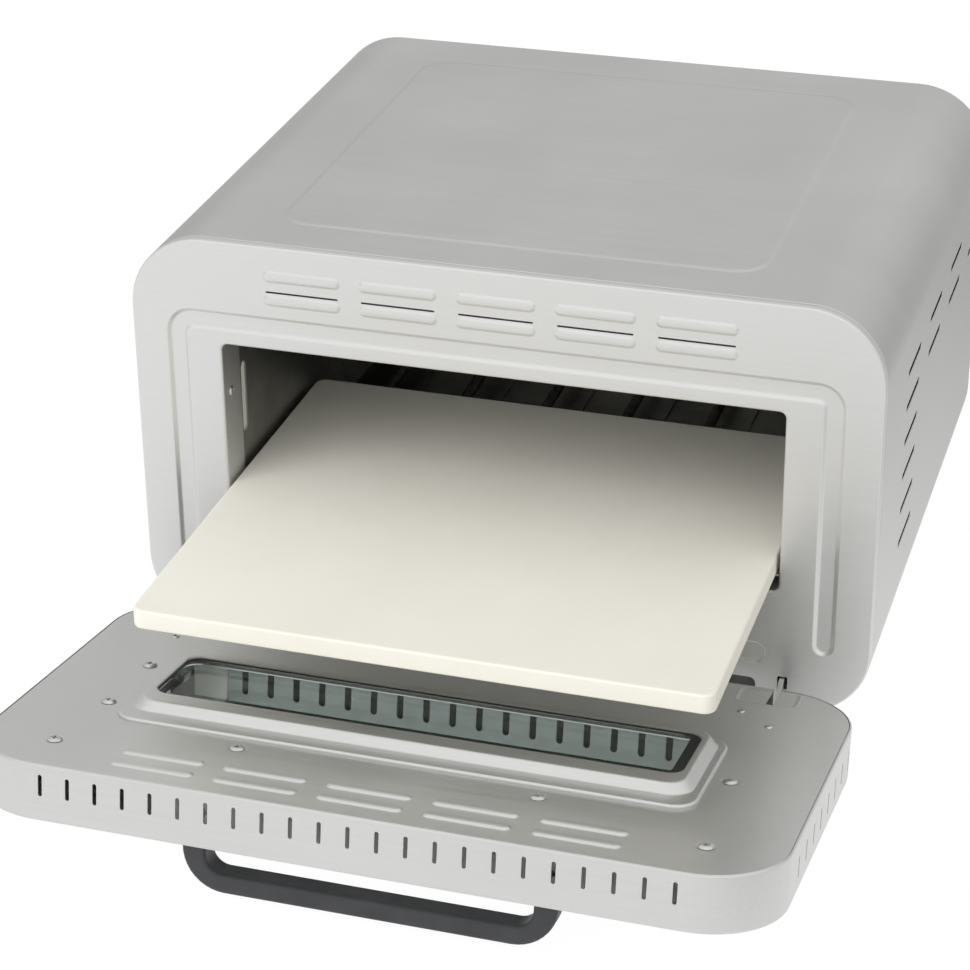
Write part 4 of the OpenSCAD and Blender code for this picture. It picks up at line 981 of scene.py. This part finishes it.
def whiteCard(name, level):
    # diffuse floor that camera, glossy and glass rays see lifted towards white; metal sees it greyer
    # behind and to the right
    material, tree, shader = startMaterial(name)
    tree.nodes.remove(shader)
    path = put(tree, "ShaderNodeLightPath").outputs
    seen = put(tree, "ShaderNodeMath", operation="MAXIMUM")
    tree.links.new(path["Is Camera Ray"], seen.inputs[0])
    tree.links.new(path["Is Glossy Ray"], seen.inputs[1])
    through = put(tree, "ShaderNodeMath", operation="MAXIMUM")
    tree.links.new(seen.outputs[0], through.inputs[0])
    tree.links.new(path["Is Transmission Ray"], through.inputs[1])
    share = put(tree, "ShaderNodeMath", operation="MULTIPLY")
    tree.links.new(through.outputs[0], share.inputs[0])
    share.inputs[1].default_value = level
    paper = put(tree, "ShaderNodeBsdfDiffuse", Color=(0.86, 0.86, 0.86, 1))
    here = put(tree, "ShaderNodeTexCoord").outputs["Object"]
    place = put(tree, "ShaderNodeSeparateXYZ", [("Vector", here)])
    behind = spread(tree, place.outputs["Y"], 0, 1, 0.0, 0.7)
    beside = spread(tree, place.outputs["X"], 0, 0.8, 0.32, 0.6)
    darker = put(tree, "ShaderNodeMath", operation="MAXIMUM")
    tree.links.new(behind, darker.inputs[0])
    tree.links.new(beside, darker.inputs[1])
    dim = put(tree, "ShaderNodeMath", operation="MULTIPLY")
    tree.links.new(darker.outputs[0], dim.inputs[0])
    tree.links.new(path["Is Glossy Ray"], dim.inputs[1])
    glow = put(tree, "ShaderNodeEmission", Strength=room["floorGlow"])
    grey = tinted(tree, dim.outputs[0], (1, 1, 1), (room["floorGrey"],) * 3)
    tree.links.new(grey, glow.inputs["Color"])
    mix = put(tree, "ShaderNodeMixShader", [("Fac", share.outputs[0])])
    tree.links.new(paper.outputs[0], mix.inputs[1])
    tree.links.new(glow.outputs[0], mix.inputs[2])
    tree.links.new(mix.outputs[0], tree.nodes["Material Output"].inputs["Surface"])
    return material


def addFloor():
    mesh = bpy.data.meshes.new("studioFloor")
    r = room["floorSize"]
    mesh.from_pydata([(-r, -r, 0), (r, -r, 0), (r, r, 0), (-r, r, 0)], [], [(0, 1, 2, 3)])
    mesh.materials.append(whiteCard("whiteFloor", room["floorLevel"]))
    floor = bpy.data.objects.new("studioFloor", mesh)
    bpy.context.scene.collection.objects.link(floor)


def towards(tree, axis, start, end, levels):
    # a grey that goes from one level to the other as a ray turns towards an axis
    ray = put(tree, "ShaderNodeTexCoord").outputs["Generated"]
    turn = put(tree, "ShaderNodeVectorMath", [("Vector", ray)], operation="DOT_PRODUCT")
    turn.inputs[1].default_value = axis
    low, high = levels
    return tinted(tree, spread(tree, turn.outputs["Value"], 0, 1, start, end), (low,) * 3, (high,) * 3)


def addSky():
    # white for the camera; metal sees a room that is lighter above, and matt surfaces are lit from the
    # front
    world = bpy.data.worlds.new("studio")
    bpy.context.scene.world = world
    world.use_nodes = True
    tree = world.node_tree
    sky = tree.nodes["Background"]
    path = put(tree, "ShaderNodeLightPath").outputs
    ceiling = towards(tree, room["ceilingAxis"], -0.45, 0.8, room["ceiling"])
    daylight = towards(tree, room["daylightAxis"], -0.6, 0.9, room["daylight"])
    mixed = put(tree, "ShaderNodeMix", data_type="RGBA")
    tree.links.new(path["Is Glossy Ray"], mixed.inputs["Factor"])
    tree.links.new(daylight, mixed.inputs["A"])
    tree.links.new(ceiling, mixed.inputs["B"])
    white = put(tree, "ShaderNodeMix", data_type="RGBA")
    tree.links.new(path["Is Camera Ray"], white.inputs["Factor"])
    tree.links.new(mixed.outputs["Result"], white.inputs["A"])
    white.inputs["B"].default_value = (1, 1, 1, 1)
    tree.links.new(white.outputs["Result"], sky.inputs["Color"])


def addLamp(name, place, aim, size, power):
    data = bpy.data.lights.new(name, "AREA")
    data.shape, data.size, data.energy = "DISK", size, power
    lamp = bpy.data.objects.new(name, data)
    lamp.location = place
    lamp.visible_glossy = False
    lamp.rotation_mode = "QUATERNION"
    lamp.rotation_quaternion = (Vector(aim) - Vector(place)).to_track_quat("-Z", "Y")
    bpy.context.scene.collection.objects.link(lamp)


addFloor()
addSky()
for lampName, lampSetting in lamps.items():
    addLamp(lampName, *lampSetting)
bpy.context.scene.view_settings.view_transform = "Standard"
print("floor, sky and lamps placed")
